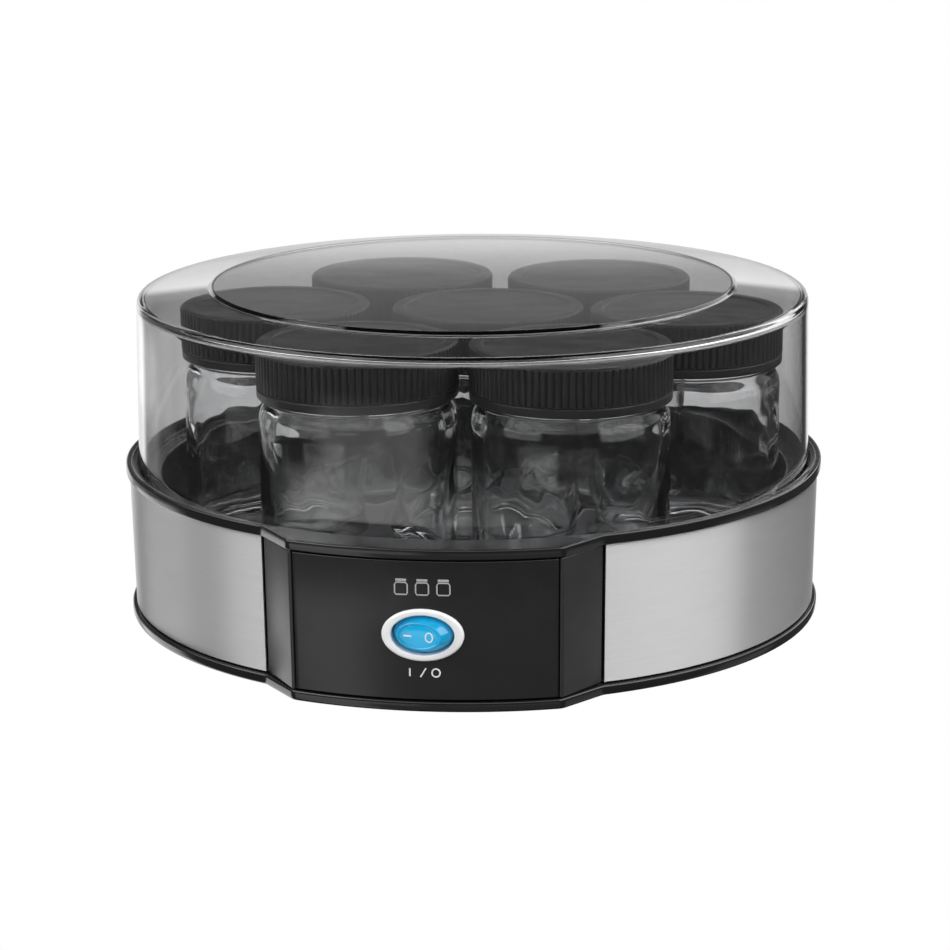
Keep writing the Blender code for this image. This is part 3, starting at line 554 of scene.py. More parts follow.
def housing_shell():
    """Moulded ring with the flange, the lid's seat, the jar well and the lip under the hot plate."""
    low = HOUSING_LOW.z
    flange_low = WALL_HIGH_Z + SMALL_GAP
    seat_r = LID_FOOT_R + 0.7 * MM
    under = LID_SEAT_Z - 2.4 * MM
    profile = [
        (lean(HOUSING_TOP_R, low), low),
        (HOUSING_TOP_R, flange_low),
        (FLANGE_R, flange_low, FLANGE_FRONT_R, 0.6 * MM),
        (FLANGE_R, FLANGE_TOP_Z, FLANGE_FRONT_R, 0.8 * MM),
        (FLANGE_R - 1.9 * MM, FLANGE_TOP_Z - 0.05 * MM, FLANGE_FRONT_R - 1.9 * MM, 0.3 * MM),
        (FLANGE_R - 2.1 * MM, FLANGE_TOP_Z - 0.5 * MM, FLANGE_FRONT_R - 2.1 * MM, 0.2 * MM),
        (seat_r, FLANGE_TOP_Z - 0.5 * MM, None, 0.3 * MM),
        (seat_r, LID_SEAT_Z, None, 0.3 * MM),
        (WELL_MOUTH_R, LID_SEAT_Z, None, 1.6 * MM),
        (WELL_R, LIP_TOP_Z, None, 1.2 * MM),
        (LIP_R, LIP_TOP_Z, None, 0.4 * MM),
        (LIP_R, LIP_LOW_Z, None, 0.4 * MM),
        (WELL_R + WALL, LIP_LOW_Z, None, 0.5 * MM),
        (WELL_MOUTH_R + WALL, under, None, 0.5 * MM),
        (HOUSING_TOP_R - WALL, under, None, 0.5 * MM),
        (lean(HOUSING_TOP_R, low) - WALL, low),
    ]
    shell = piece_of("housing_shell", turned_mesh(filleted(profile), bumped_turn()), GLOSS_BLACK)
    window_half = 13.2 * MM
    inner = HOUSING_TOP_R - WALL - 3 * MM
    outside = HOUSING_TOP_R + MM
    bm = bmesh.new()
    add_box(bm, (AXIS.x - window_half, AXIS.y - outside, SWITCH_Z - window_half),
            (AXIS.x + window_half, AXIS.y - inner, SWITCH_Z + window_half))
    add_cylinder(bm, GLAND_HOLE_R, inner, outside, rearward(GLAND_Z))
    cut(shell, bm)
    place_in(shell, "base", "gloss_black", "upper_housing")


def base_cover():
    """Bottom cover: a rounded rim round its edge, stiffening steps and pockets below."""
    rim_low, under = COVER_LOW.z, COVER_LOW.z + COVER_RECESS
    top = COVER_HIGH.z
    front = RIM_FRONT_R - RIM_R
    middle_r, groove_r, rim_inner_r = 40.0 * MM, 84.0 * MM, 117.0 * MM
    profile = [
        (0, under + 0.5 * MM),
        (middle_r, under + 0.5 * MM, None, 0.5 * MM),
        (middle_r + 0.6 * MM, under, None, 0.5 * MM),
        (groove_r, under, None, 0.4 * MM),
        (groove_r + 0.4 * MM, under + 0.4 * MM, None, 0.3 * MM),
        (groove_r + 2.6 * MM, under + 0.4 * MM, None, 0.3 * MM),
        (groove_r + 3.0 * MM, under, None, 0.4 * MM),
        (rim_inner_r, under, rim_inner_r + front, 0.3 * MM),
        (rim_inner_r + 0.6 * MM, rim_low, rim_inner_r + 0.6 * MM + front, 0.4 * MM),
        (RIM_R, rim_low, RIM_FRONT_R, 1.3 * MM),
        (RIM_R, top, RIM_FRONT_R, 0.9 * MM),
        (RIM_R - 3.0 * MM, top, RIM_FRONT_R - 3.0 * MM),
        (0, top),
    ]
    bm = turned_mesh(filleted(profile, closed=False), bumped_turn())
    cover = piece_of("base_cover", bm, GLOSS_BLACK)
    screw_places = [upright(under_middle(*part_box(f"base_screw_{spot}"))) for spot in CORNERS]
    foot_places = [upright(under_middle(*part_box(f"foot_{spot}"))) for spot in CORNERS]
    head_pocket_r, screw_hole_r, foot_hole_r = 4.0 * MM, 1.9 * MM, 2.3 * MM
    bm = bmesh.new()
    for place in screw_places:
        add_cylinder(bm, head_pocket_r, rim_low - MM, under + 1.4 * MM, place)
    cut(cover, bm)
    bm = bmesh.new()
    for place in screw_places:
        add_cylinder(bm, screw_hole_r, 0, top + MM, place, 24)
    for place in foot_places:
        add_cylinder(bm, foot_hole_r, 0, top + MM, place, 24)
    cut(cover, bm)
    place_in(cover, "base", "gloss_black", "base_plate")


def grain_uv(piece):
    """A UV map whose U runs up the wall, so that the brushed gloss spreads up and down."""
    layer = piece.data.uv_layers.new(name="grain")
    for loop in piece.data.loops:
        point = piece.data.vertices[loop.vertex_index].co - AXIS
        layer.data[loop.index].uv = (point.z / 0.1, math.atan2(point.y, point.x))


def steel_sheets():
    """Two brushed sheets round the sides, from the control panel to the rear panel."""
    first, last = FACET_HALF + SHEET_GAP, 180 - REAR_HALF - SHEET_GAP
    for side, angles in (("right", steps(first, last, 110)), ("left", steps(-last, -first, 110))):
        bm = plate_mesh(STEEL_TOP_R, STEEL_THICK, WALL_LOW_Z, WALL_HIGH_Z, angles)
        sheet = piece_of(f"steel_sheet_{side}", bm, STEEL)
        soften(sheet, 0.16 * MM, 2)
        grain_uv(sheet)
        place_in(sheet, "base", "steel", f"steel_panel_{side}")


def rear_panel():
    """Black panel where the steel sheets end, with the hole for the cord gland."""
    angles = steps(180 - REAR_HALF, 180 + REAR_HALF, 24)
    bm = plate_mesh(REAR_TOP_R, PANEL_THICK, REAR_LOW.z, REAR_HIGH.z, angles)
    panel = piece_of("rear_cover", bm, SATIN_BLACK)
    inside, outside = 112 * MM, 125 * MM
    bm = bmesh.new()
    add_cylinder(bm, GLAND_HOLE_R, inside, outside, rearward(GLAND_Z))
    cut(panel, bm)
    soften(panel, 0.35 * MM)
    place_in(panel, "base", "satin_black", "rear_panel")


def cord_gland():
    """Rubber bush with a rounded collar and an open bore."""
    inner, outer = GLAND_LOW.y - AXIS.y, GLAND_HIGH.y - AXIS.y
    bore_r, neck_r, collar_r = 3.3 * MM, 4.8 * MM, (GLAND_HIGH.x - GLAND_LOW.x) / 2
    collar_low = 120.0 * MM
    profile = [
        (bore_r, inner, None, 0.5 * MM),
        (neck_r, inner, None, 0.5 * MM),
        (neck_r, collar_low, None, 0.1 * MM),
        (collar_r, collar_low, None, 0.5 * MM),
        (collar_r, outer, None, 1.4 * MM),
        (bore_r + 1.6 * MM, outer, None, 0.4 * MM),
        (bore_r + 1.3 * MM, outer - 0.5 * MM, None, 0.3 * MM),
        (bore_r, outer - 0.5 * MM, None, 0.7 * MM),
    ]
    bm = turned_mesh(filleted(profile), full_turn(64), Vector((0, 0, 0)))
    bmesh.ops.transform(bm, matrix=rearward(GLAND_Z), verts=bm.verts)
    place_in(piece_of("gland_bush", bm, RUBBER), "base", "rubber", "cord_gland")


# ---- Control panel and switch ----

def pod_outline(z):
    """Plan of the control housing at height z: facets, fascia recess, then the inner side."""
    side, front = lean(STEEL_TOP_R, z), lean(FRONT_TOP_R, z)
    recess = front - 1.9 * MM
    inner_side, inner_front = lean(HOUSING_TOP_R, z) + 0.6 * MM, recess - 2.1 * MM
    end, groove = FACET_HALF - 0.15, FASCIA_HALF + 0.2
    outer = [(side, end), (front, FRONT_HALF), (front, groove)]
    outer += [(recess, angle) for angle in steps(groove, -groove, 48)]
    outer += [(front, -groove), (front, -FRONT_HALF), (side, -end)]
    inner = [(inner_side, -end), (inner_side, 1.8 - FACET_HALF)]
    inner += [(inner_front, angle) for angle in steps(1 - FRONT_HALF, FRONT_HALF - 1, 48)]
    inner += [(inner_side, FACET_HALF - 1.8), (inner_side, end)]
    return [AXIS + polar(radius, angle, z) for radius, angle in outer + inner]


FACE_R = lean(FRONT_TOP_R, SWITCH_Z)
BEZEL_OVAL = Vector(((BEZEL_HIGH.x - BEZEL_LOW.x) / 2, (BEZEL_HIGH.z - BEZEL_LOW.z) / 2))
SLEEVE_OVAL = Vector((10.65, 7.15)) * MM
SOCKET_OVAL = Vector((9.95, 6.45)) * MM
OVAL_STEPS = 96

# The rocker turns on an upright axis behind the panel's face
PIVOT_DEPTH = 2.5 * MM
ROCKER_TILT = 11.0
ROCKER_AXIS = Matrix.Translation((AXIS.x, AXIS.y - FACE_R + PIVOT_DEPTH, SWITCH_Z))
ROCKER_PLACE = ROCKER_AXIS @ Matrix.Rotation(math.radians(-ROCKER_TILT), 4, "Z")


def on_face(x, z, depth):
    """The point at x and z that lies `depth` outside the panel's curved, leaning face."""
    radius = lean(FRONT_TOP_R, z) + depth
    return AXIS + Vector((x, -math.sqrt(radius ** 2 - x ** 2), z))


def oval(half_axes, depth, curved=False):
    """An oval round the switch's centre, flat or laid on the panel's curve."""
    points = []
    for angle in full_turn(OVAL_STEPS):
        x = half_axes[0] * math.cos(math.radians(angle))
        z = SWITCH_Z + half_axes[1] * math.sin(math.radians(angle))
        points.append(on_face(x, z, depth) if curved else AXIS + Vector((x, -FACE_R - depth, z)))
    return points


def widened(half_axes, amount):
    """An oval's half axes, both longer by an amount."""
    return half_axes + Vector((amount, amount))


def panel_pieces():
    """The control panel's frame and the curved plate let into it, with the switch's window."""
    bm = lofted_mesh([pod_outline(POD_LOW.z), pod_outline(POD_HIGH.z)])
    frame_piece = piece_of("panel_frame", bm, SATIN_BLACK)
    angles = steps(-FASCIA_HALF, FASCIA_HALF, 60)
    bm = plate_mesh(FRONT_TOP_R, PANEL_THICK, FASCIA_LOW.z, FASCIA_HIGH.z, angles)
    fascia = piece_of("fascia_plate", bm, FASCIA_BLACK)
    window = widened(SLEEVE_OVAL, 0.4 * MM)
    for piece, rounding in ((frame_piece, 0.45 * MM), (fascia, 0.3 * MM)):
        soften(piece, rounding)
        cut(piece, lofted_mesh([oval(window, -8 * MM), oval(window, 3 * MM)]))
    place_in(frame_piece, "base", "satin_black", "control_housing")
    place_in(fascia, "base", "fascia_black", "control_fascia")


def switch_frame():
    """White oval frame on the fascia, rounded over, and its sleeve through the window."""
    face, inner_end = 1.5 * MM, -7.0 * MM
    outer_round, inner_round = 0.8 * MM, 0.45 * MM
    edge = 0.7 * MM
    rings = [oval(BEZEL_OVAL, SMALL_GAP, True), oval(BEZEL_OVAL, edge, True)]
    for t in steps(10, 90, 6):
        turn = math.radians(t)
        inset = outer_round * (1 - math.cos(turn))
        rings.append(oval(widened(BEZEL_OVAL, -inset), edge + outer_round * math.sin(turn), True))
    for t in steps(0, 90, 5):
        turn = math.radians(t)
        inset = inner_round * (1 - math.sin(turn))
        depth = face - inner_round * (1 - math.cos(turn))
        rings.append(oval(widened(SOCKET_OVAL, inset), depth, True))
    rings += [
        oval(SOCKET_OVAL, inner_end),
        oval(SLEEVE_OVAL, inner_end),
        oval(SLEEVE_OVAL, SMALL_GAP, True),
    ]
    bezel = piece_of("switch_frame", lofted_mesh(rings, ring=True), SWITCH_WHITE)
    bm = bmesh.new()
    add_cylinder(bm, 1.1 * MM, -9 * MM, 9 * MM, ROCKER_AXIS, 24)
    cut(bezel, bm)
    place_in(bezel, "base", "switch_white", "switch_bezel")


def rocker_point(x, z, depth):
    """A point on the rocker, x and z from its middle and depth out from the panel's face."""
    return ROCKER_PLACE @ Vector((x, -PIVOT_DEPTH - depth, z))


def rocker_cap():
    """Blue rocker: a domed oval face inside a thin bead, and flanks that widen into the socket."""
    # In mm: half width, half height, and how far out of the panel's face
    sections = [
        (0.0, 0.0, 2.60),
        (3.0, 1.7, 2.58),
        (5.6, 3.3, 2.48),
        (6.3, 3.65, 2.42),
        (6.6, 3.85, 2.60),
        (7.0, 4.15, 2.68),
        (7.4, 4.45, 2.55),
        (7.65, 4.65, 2.1),
        (8.1, 5.0, 1.3),
        (8.75, 5.45, 0.4),
        (9.3, 5.85, -0.9),
        (9.55, 6.05, -2.5),
        (9.4, 5.98, -3.8),
        (9.2, 5.85, -5.0),
        (8.2, 4.9, -5.0),
        (6.4, 3.5, 1.1),
        (0.0, 0.0, 1.3),
    ]
    bm = bmesh.new()
    rows = []
    for width, height, depth in sections:
        turn = [math.radians(angle) for angle in full_turn(OVAL_STEPS)] if width else [0]
        rows.append([
            bm.verts.new(rocker_point(width * MM * math.cos(t), height * MM * math.sin(t), depth * MM))
            for t in turn])
    bridge(bm, rows)
    rocker = piece_of("rocker_cap", bm, LIT_BLUE, 50)
    place_in(rocker, "rocker", "switch_blue", "switch_rocker")
    bm = bmesh.new()
    add_cylinder(bm, 0.8 * MM, 5.95 * MM, 7.0 * MM, ROCKER_AXIS, 24)
    add_cylinder(bm, 0.8 * MM, -7.0 * MM, -5.95 * MM, ROCKER_AXIS, 24)
    place_in(piece_of("rocker_trunnions", bm, LIT_BLUE), "rocker", "switch_blue")


def stroke(bm, points, width, surface, closed=False):
    """A printed line of one width along flat points (x, z), raised a hair above a surface."""
    points = [Vector(point) * MM for point in points]
    thick = 0.06 * MM
    rows = []
    last = len(points) - 1
    for i, point in enumerate(points):
        before = points[i - 1] if (i or closed) else point
        after = points[(i + 1) % len(points)] if (i < last or closed) else point
        along = (after - before).normalized()
        across = Vector((-along.y, along.x)) * width * MM / 2
        edges = (point + across, point - across)
        rows.append([bm.verts.new(surface(p.x, p.y, d)) for p, d in (
            (edges[0], 0), (edges[1], 0), (edges[1], thick), (edges[0], thick))])
    bridge(bm, rows, round_profile=closed)
    if not closed:
        bm.faces.new(rows[0])
        bm.faces.new(rows[-1])


def ellipse(x, z, half_x, half_z):
    """Flat points round an ellipse."""
    turn = [math.radians(angle) for angle in full_turn(40)]
    return [(x + half_x * math.cos(t), z + half_z * math.sin(t)) for t in turn]


def rocker_marks():
    """The plain line and ring of a mains rocker."""
    def surface(x, z, depth):
        return rocker_point(x, z, 2.46 * MM + depth * 3)

    bm = bmesh.new()
    stroke(bm, [(x, 0) for x in steps(-4.9, -2.3, 6)], 0.52, surface)
    stroke(bm, ellipse(3.4, 0, 1.15, 1.45), 0.42, surface, closed=True)
    place_in(piece_of("rocker_marks", bm, PRINT_WHITE), "rocker", "switch_white")


def panel_marks():
    """A generic row of jar outlines above the switch, and a line, slash and ring below it."""
    def above(x, z, depth):
        return on_face(x, SWITCH_Z + 15.2 * MM + z, 0.02 * MM + depth)

    def below(x, z, depth):
        return on_face(x, SWITCH_Z - 12.4 * MM + z, 0.02 * MM + depth)

    left = [(-1.5, 1.5), (-2.0, 0.8), (-2.0, -1.9), (-1.6, -2.4)]
    outline = left + [(-x, z) for x, z in reversed(left)]
    bm = bmesh.new()
    for middle in (-6.6, 0.0, 6.6):
        stroke(bm, [(middle + x, z) for x, z in outline], 0.42, above, closed=True)
        stroke(bm, [(middle - 1.7, 2.3), (middle + 1.7, 2.3)], 0.75, above)
    place_in(piece_of("panel_jar_marks", bm, PRINT_GREY), "base", "switch_white")
    bm = bmesh.new()
    stroke(bm, [(-4.2, -1.3), (-4.2, 1.3)], 0.5, below)
    stroke(bm, [(-0.9, -1.5), (0.9, 1.5)], 0.42, below)
    stroke(bm, ellipse(4.0, 0, 1.25, 1.3), 0.46, below, closed=True)
    place_in(piece_of("panel_switch_marks", bm, PRINT_WHITE), "base", "switch_white")


# ---- Hot plate, feet and screws ----

def hot_plate():
    """Round plate with shallow pressed rings, and the stud below it."""
    radius = (PLATE_HIGH.x - PLATE_LOW.x) / 2
    top, low, stud_low = PLATE_HIGH.z, LIP_TOP_Z + SMALL_GAP, PLATE_LOW.z
    stud_r = 2.6 * MM
    profile = [(0, top)]
    for ring in (20.0, 40.0, 60.0, 80.0, 98.0):
        profile += [
            ((ring - 0.5) * MM, top, None, 0.2 * MM),
            (ring * MM, top - 0.25 * MM, None, 0.3 * MM),
            ((ring + 0.5) * MM, top, None, 0.2 * MM),
        ]
    profile += [
        (radius, top, None, 0.7 * MM),
        (radius, low, None, 0.3 * MM),
        (stud_r, low),
        (stud_r, stud_low, None, 0.4 * MM),
        (0, stud_low),
    ]
    plate = piece_of("hot_plate", turned_mesh(filleted(profile, closed=False)), PLATE_COAT)
    place_in(plate, "base", "dark_plate", "heating_plate")


def feet():
    """Rubber feet, each with a neck through the cover and a head that holds it there."""
    shoulder = COVER_LOW.z + COVER_RECESS - SMALL_GAP
    through = COVER_HIGH.z + SMALL_GAP
    neck_r = 1.9 * MM
    for spot in CORNERS:
        low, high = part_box(f"foot_{spot}")
        radius = (high.x - low.x) / 2
        profile = [
            (0, 0.4 * MM),
            (2.6 * MM, 0.4 * MM, None, 0.3 * MM),
            (3.0 * MM, 0, None, 0.3 * MM),
            (radius - 0.3 * MM, 0, None, 0.9 * MM),
            (radius, shoulder, None, 0.5 * MM),
            (neck_r, shoulder),
            (neck_r, through),
            (2.9 * MM, through, None, 0.3 * MM),
            (2.1 * MM, high.z, None, 0.6 * MM),
            (0, high.z),
        ]
        centre = under_middle(low, high)
        bm = turned_mesh(filleted(profile, closed=False), full_turn(48), centre)
        place_in(piece_of(f"rubber_foot_{spot}", bm, RUBBER), "base", "rubber", f"foot_{spot}")


def screws():
    """Cross-head screws that hold the cover from below, each stopped at its own angle."""
    shank_r = 1.3 * MM
    for number, spot in enumerate(CORNERS):
        low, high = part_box(f"base_screw_{spot}")
        head_r = (high.x - low.x) / 2
        head_top = low.z + 1.1 * MM
        profile = [
            (0, low.z),
            (head_r, low.z, None, 0.8 * MM),
            (head_r, head_top, None, 0.2 * MM),
            (shank_r, head_top),
            (shank_r, high.z - 1.5 * MM),
            (0, high.z),
        ]
        centre = under_middle(low, high)
        bm = turned_mesh(filleted(profile, closed=False), full_turn(32), centre)
        screw = piece_of(f"cover_screw_{spot}", bm, ZINC)
        turned = upright(centre) @ Matrix.Rotation(math.radians(17 + 31 * number), 4, "Z")
        slot_low, slot_high = low.z - MM, low.z + 0.7 * MM
        for bar in ((1.9, 0.4), (0.4, 1.9)):
            bm = bmesh.new()
            half = Vector(bar) * MM
            add_box(bm, (-half.x, -half.y, slot_low), (half.x, half.y, slot_high), turned)
            cut(screw, bm)
        place_in(screw, "base", "zinc", f"base_screw_{spot}")


# ---- Lid ----

def lid_profile(inset):
    """The lid's outline pushed in by `inset`, from its foot to its middle."""
    foot, top = LID_LOW.z, LID_HIGH.z
    shoulder_r, shoulder_z = LID_FOOT_R - 1.0 * MM, top - 3.6 * MM
    disc_r = 89.4 * MM
    return [
        (LID_FOOT_R - inset, foot, None, 0.5 * MM),
        (shoulder_r - inset, shoulder_z - inset, None, 2.4 * MM - 0.3 * inset),
        (disc_r + 1.1 * MM - 0.3 * inset, top - 1.35 * MM - inset, None, 0.5 * MM),
        (disc_r - 0.3 * inset, top - 0.1 * MM - inset, None, 0.5 * MM),
        (0, top - inset),
    ]


def held(profile, gap=0.4 * MM):
    """The profile with a point just inside the ends of each long straight, so that it shades flat."""
    points = [profile[0]]
    for near, far in zip(profile, profile[1:]):
        share = gap / max(gap, (far - near).length)
        if share < 1 / 8:
            ends = [share] * (near.x > gap) + [1 - share] * (far.x > gap)
            points += [near.lerp(far, end) for end in ends]
        points.append(far)
    return points


def lid_dome():
    """Clear dome lid: a low raised disc in its middle and a rounded shoulder round it."""
    outer = filleted(lid_profile(0), 8, closed=False)
    inner = filleted(lid_profile(LID_THICK), 8, closed=False)
    foot = filleted([(LID_FOOT_R - LID_THICK, LID_LOW.z), (LID_FOOT_R, LID_LOW.z)], closed=False)
    profile = list(reversed(inner))[:-1] + foot + outer[1:]
    dome = piece_of("lid_dome", turned_mesh(held(profile), full_turn(288)), SMOKE_CLEAR, 60)
    place_in(dome, "lid", "smoke_clear", "dome_lid")
    dome.visible_shadow = False


# ---- Jars, seals and caps ----

JAR_TURN_STEPS = 120
THREAD_PITCH = 3.2 * MM


def thread_height(z, angle, low, high):
    """How far the jar's thread stands out of its neck at this height and angle."""
    along = (z - low - THREAD_PITCH * (angle % 360) / 360) / THREAD_PITCH
    if along < -0.5 or z > high:
        return 0
    wave = math.cos(2 * math.pi * along)
    ends = min(1, (z - low + THREAD_PITCH / 2) / MM, (high - z) / MM)
    return 0.75 * MM * max(0, wave) ** 0.7 * max(0, ends)


def jar(number):
    """Glass jar: a raised foot ring, a threaded neck, and walls that are uneven inside."""
    low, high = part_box(f"jar_{number}")
    centre = under_middle(low, high)
    body_r = (high.y - low.y) / 2
    neck_r, wall = 30.0 * MM, 3.0 * MM
    shoulder_z = low.z + 55.2 * MM
    rim_z = high.z
    thread_low, thread_high = rim_z - 10.5 * MM, rim_z - 2.5 * MM
    profile = [
        (0, low.z + 2.2 * MM),
        (14.0 * MM, low.z + 1.7 * MM, None, 6.0 * MM),
        (24.5 * MM, low.z + 0.5 * MM, None, 1.5 * MM),
        (27.0 * MM, low.z, None, 1.5 * MM),
        (body_r - 0.6 * MM, low.z + 1.0 * MM, None, 3.4 * MM),
        (body_r, low.z + 7.0 * MM, None, 3.0 * MM),
    ]
    profile += [(body_r, z) for z in steps(low.z + 11 * MM, shoulder_z - 4 * MM, 7)]
    profile += [
        (body_r, shoulder_z + 1.6 * MM, None, 4.0 * MM),
        (neck_r + 0.5 * MM, shoulder_z + 4.6 * MM, None, 1.6 * MM),
        (neck_r + 0.1 * MM, shoulder_z + 5.6 * MM, None, 0.4 * MM),
        (neck_r + 0.9 * MM, shoulder_z + 6.2 * MM, None, 0.4 * MM),
        (neck_r + 0.9 * MM, shoulder_z + 7.1 * MM, None, 0.4 * MM),
        (neck_r - 0.3 * MM, shoulder_z + 7.7 * MM, None, 0.4 * MM),
    ]
    neck_steps = steps(thread_low - 2.0 * MM, thread_high + 0.4 * MM, 28)
    profile += [(neck_r - 0.3 * MM, z) for z in neck_steps]
    profile += [
        (neck_r - 0.3 * MM, rim_z, None, 0.9 * MM),
        (neck_r - wall, rim_z, None, 0.9 * MM),
        (neck_r - wall, shoulder_z + 5.0 * MM, None, 3.0 * MM),
        (body_r - wall, shoulder_z - 1.0 * MM, None, 3.0 * MM),
    ]
    profile += [(body_r - wall, z) for z in steps(shoulder_z - 6 * MM, low.z + 9 * MM, 20)]
    profile += [
        (body_r - wall, low.z + 4.6 * MM, None, 5.0 * MM),
        (body_r - wall - 8.0 * MM, low.z + 3.8 * MM, None, 3.0 * MM),
        (0, low.z + 4.6 * MM),
    ]

    def shape(radius, z, angle):
        """Adds the thread to the neck, and slow waves to the inner face of the wall."""
        if radius > neck_r - 0.4 * MM and thread_low - 2.1 * MM < z < thread_high + 0.5 * MM:
            return radius + thread_height(z, angle, thread_low, thread_high)
        inside = radius < body_r - 1.5 * MM and z > low.z + 3.0 * MM and radius > 12 * MM
        if inside and z < shoulder_z + 2 * MM:
            spot = polar(1.2, angle, z / (25 * MM)) + Vector((number * 7.3, 0, 0))
            return radius + 0.7 * MM * (noise.turbulence(spot, 2, True) - 0.45)
        return radius

    bm = turned_mesh(filleted(profile, closed=False), full_turn(JAR_TURN_STEPS), centre, shape)
    glass = piece_of(f"glass_jar_{number}", bm, JAR_GLASS, 60)
    place_in(glass, f"jar_{number}", "jar_glass", f"jar_{number}")
    glass.visible_shadow = False


RIBS = 88
RIB_SHAPE = (0.0, 0.72, 1.0, 1.0, 1.0, 0.72)  # height across one rib, from groove to groove


def cap(number):
    """Screw cap: fine upright ribs over a smooth band, a raised ring on top and a sunk middle."""
    low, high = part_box(f"jar_cap_{number}")
    centre = under_middle(low, high)
    radius, top, wall = (high.y - low.y) / 2, high.z, 1.8 * MM
    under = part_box(f"jar_seal_{number}")[1].z + SMALL_GAP
    band = low.z + 2.8 * MM
    rib_low, rib_high = band + 0.7 * MM, top - 0.9 * MM
    profile = [
        (0, under),
        (radius - wall, under, None, 0.6 * MM),
        (radius - wall, low.z, None, 0.3 * MM),
        (radius - 0.1 * MM, low.z, None, 0.6 * MM),
        (radius - 0.1 * MM, band, None, 0.3 * MM),
        (radius - 0.45 * MM, band + 0.25 * MM, None, 0.1 * MM),
        (radius, rib_low, None, 0.2 * MM),
    ]
    profile += [(radius, z) for z in steps(rib_low + 0.6 * MM, rib_high - 0.8 * MM, 3)]
    profile += [
        (radius, rib_high, None, 0.3 * MM),
        (radius - 0.75 * MM, top - 0.15 * MM, None, 0.3 * MM),
        (radius - 1.5 * MM, top, None, 0.3 * MM),
        (radius - 4.0 * MM, top, None, 0.6 * MM),
        (radius - 4.8 * MM, top - 0.8 * MM, None, 0.6 * MM),
        (radius - 9.0 * MM, top - 0.8 * MM),
        (0, top - 0.75 * MM),
    ]
    count = RIBS * len(RIB_SHAPE)

    def shape(r, z, angle):
        """Sinks the grooves between the ribs."""
        if r < radius - 0.3 * MM or z < rib_low - 0.05 * MM or z > rib_high + 0.1 * MM:
            return r
        crest = RIB_SHAPE[round(angle / 360 * count) % len(RIB_SHAPE)]
        return r - 0.62 * MM * (1 - crest)

    bm = turned_mesh(filleted(profile, closed=False), full_turn(count), centre, shape)
    piece = piece_of(f"screw_cap_{number}", bm, CAP_BLACK, 28)
    place_in(piece, f"cap_{number}", "cap_black", f"jar_cap_{number}")


def seal(number):
    """Soft disc inside the cap, with a thicker edge that meets the jar's rim."""
    low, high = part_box(f"jar_seal_{number}")
    centre = under_middle(low, high)
    radius = (high.y - low.y) / 2
    profile = [
        (0, low.z + 0.15 * MM),
        (radius - 5.0 * MM, low.z + 0.15 * MM, None, 0.4 * MM),
        (radius - 4.6 * MM, low.z, None, 0.3 * MM),
        (radius, low.z, None, 0.3 * MM),
        (radius, high.z, None, 0.3 * MM),
        (0, high.z),
    ]
    bm = turned_mesh(filleted(profile, closed=False), full_turn(96), centre)
    piece = piece_of(f"cap_seal_{number}", bm, SEAL_WHITE)
    place_in(piece, f"seal_{number}", "seal_white", f"jar_seal_{number}")


# ---- Studio ----

def camera():
    """The camera of the main view, which looks at a point beside the body's axis."""
    data = bpy.data.cameras.new("view")
    data.lens = VIEW_LENS
    data.sensor_width = SENSOR
    data.clip_start, data.clip_end = 0.05, 50
    view = bpy.data.objects.new("view", data)
    bpy.context.scene.collection.objects.link(view)
    rise = math.radians(VIEW_ELEVATION)
    back = polar(math.cos(rise), VIEW_AZIMUTH, math.sin(rise))
    aside = polar(1, VIEW_AZIMUTH + 90)
    target = AXIS + aside * VIEW_ASIDE + Vector((0, 0, VIEW_Z))
    turn = (-back).to_track_quat("-Z", "Y").to_matrix().to_4x4()
    roll = Matrix.Rotation(math.radians(VIEW_ROLL), 4, "Z")
    view.matrix_world = Matrix.Translation(target + back * VIEW_DISTANCE) @ turn @ roll
    bpy.context.scene.camera = view


# What the object mirrors and what shows through its glass: bright panels in a dark studio, each
# (middle, half width, foot, top, blur of foot and top, brightness), with angles in degrees round
# from the camera's side towards +X, and up from level
DARK_STUDIO = 0.06
SIDE_BLUR = 4.0
PANELS = [
    (-175, 24, -60, 9.8, 0.75, 0.98),
    (180, 27, 8.0, 11.6, 1.6, 0.18),
    (180, 26, 33, 48, 1.0, 3.2),
    (-64, 24, 10, 56, 1.0, 3.2),
    (-98, 14, 12, 56, 1.0, 1.9),
    (68, 32, 10, 56, 1.0, 3.8),
    (134, 30, 12, 56, 1.0, 1.9),
    (0, 42, 22, 52, 1.0, 1.7),
    (-130, 17, -60, -13.9, 0.25, 1.95),
    (-145, 11, -13.9, -11, 0.3, 0.25),
    (-143, 20, -12.5, 6, 0.5, 0.3),
    (101, 14, -60, -15, 0.5, 0.34),
    (-46, 14, -60, -16.5, 0.4, 1.05),
    (-40, 24, -16.5, -12.6, 0.4, 1.5),
    (-34, 18, -12.6, -11.2, 0.4, 0.8),
    (10, 20, -16.5, -12.8, 0.4, 0.45),
    (6, 34, -60, -16.5, 0.4, 0.18),
]


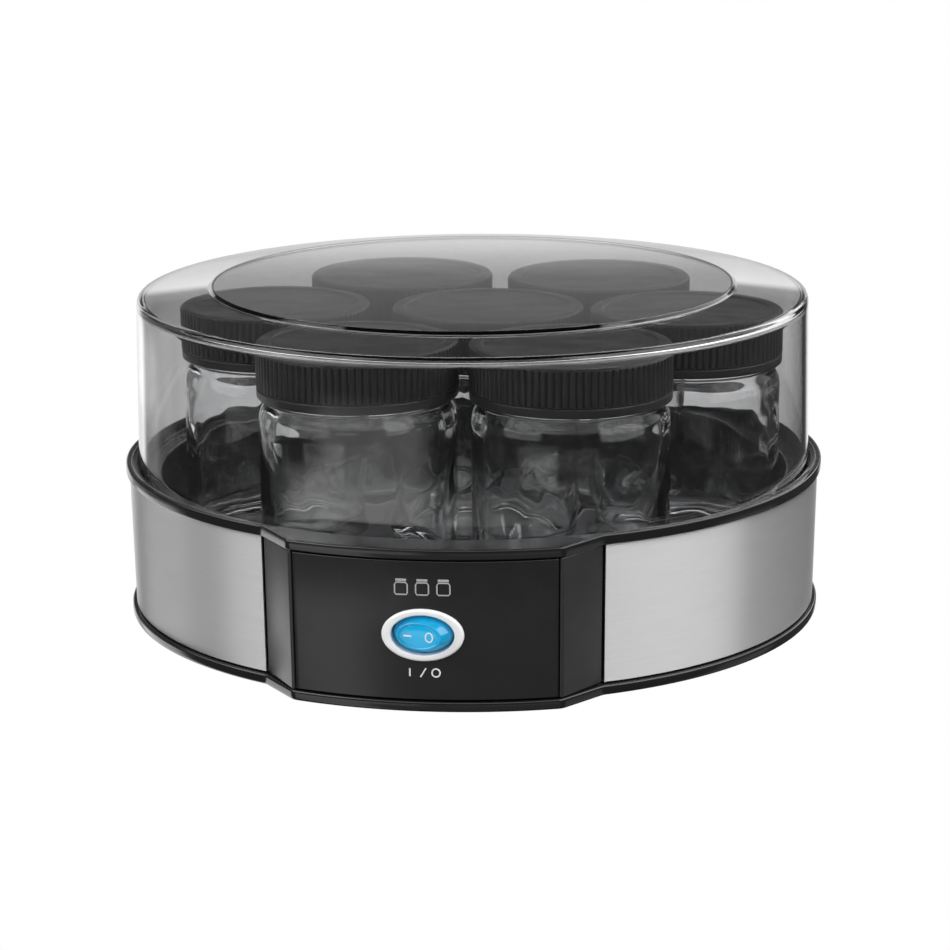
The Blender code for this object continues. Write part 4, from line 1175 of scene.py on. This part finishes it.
def studio_world():
    """A plain white backdrop for the camera, with the dark studio and its panels in the mirrors."""
    world = bpy.data.worlds.new("studio")
    world.use_nodes = True
    bpy.context.scene.world = world
    made = NodeTree(world.node_tree)
    nodes = made.tree.nodes
    split = nodes.new("ShaderNodeSeparateXYZ")
    made.link(nodes.new("ShaderNodeTexCoord").outputs["Generated"], split.inputs[0])
    x, y, z = split.outputs
    turn = made.math("ARCTAN2", x, made.math("MULTIPLY", y, -1.0))
    turn = made.math("SUBTRACT", made.math("MULTIPLY", turn, 180 / math.pi), VIEW_AZIMUTH)
    rise = made.math("MULTIPLY", made.math("ARCSINE", z), 180 / math.pi)
    light = DARK_STUDIO
    for middle, half, foot, top, blur, brightness in PANELS:
        away = made.math("WRAP", made.math("SUBTRACT", turn, float(middle)), -180.0)
        away.node.inputs[2].default_value = 180.0
        away = made.math("ABSOLUTE", away)
        across = made.ramp(away, brightness, 0.0, half - SIDE_BLUR, half + SIDE_BLUR)
        up = made.math("MULTIPLY", made.ramp(rise, 0.0, 1.0, foot - blur, foot + blur),
                       made.ramp(rise, 1.0, 0.0, top - blur, top + blur))
        light = made.math("ADD", light, made.math("MULTIPLY", across, up))
    seen = nodes.new("ShaderNodeLightPath").outputs["Is Camera Ray"]
    background = nodes["Background"]
    strength = made.math("ADD", made.math("MULTIPLY", light, made.math("SUBTRACT", 1.0, seen)), seen)
    made.link(strength, background.inputs["Strength"])
    background.inputs["Color"].default_value = (1, 1, 1, 1)


def light_paths():
    """Enough bounces for light to cross the lid and several jars."""
    cycles = bpy.context.scene.cycles
    cycles.max_bounces = 28
    cycles.transmission_bounces = 24
    cycles.transparent_max_bounces = 24
    bpy.context.scene.view_settings.view_transform = "Standard"


camera()
studio_world()
light_paths()
finish_carried_over()
housing_shell()
base_cover()
steel_sheets()
rear_panel()
cord_gland()
panel_pieces()
switch_frame()
rocker_cap()
rocker_marks()
panel_marks()
hot_plate()
feet()
screws()
lid_dome()
for jar_number in JARS:
    jar(jar_number)
    seal(jar_number)
    cap(jar_number)

bpy.context.view_layer.update()
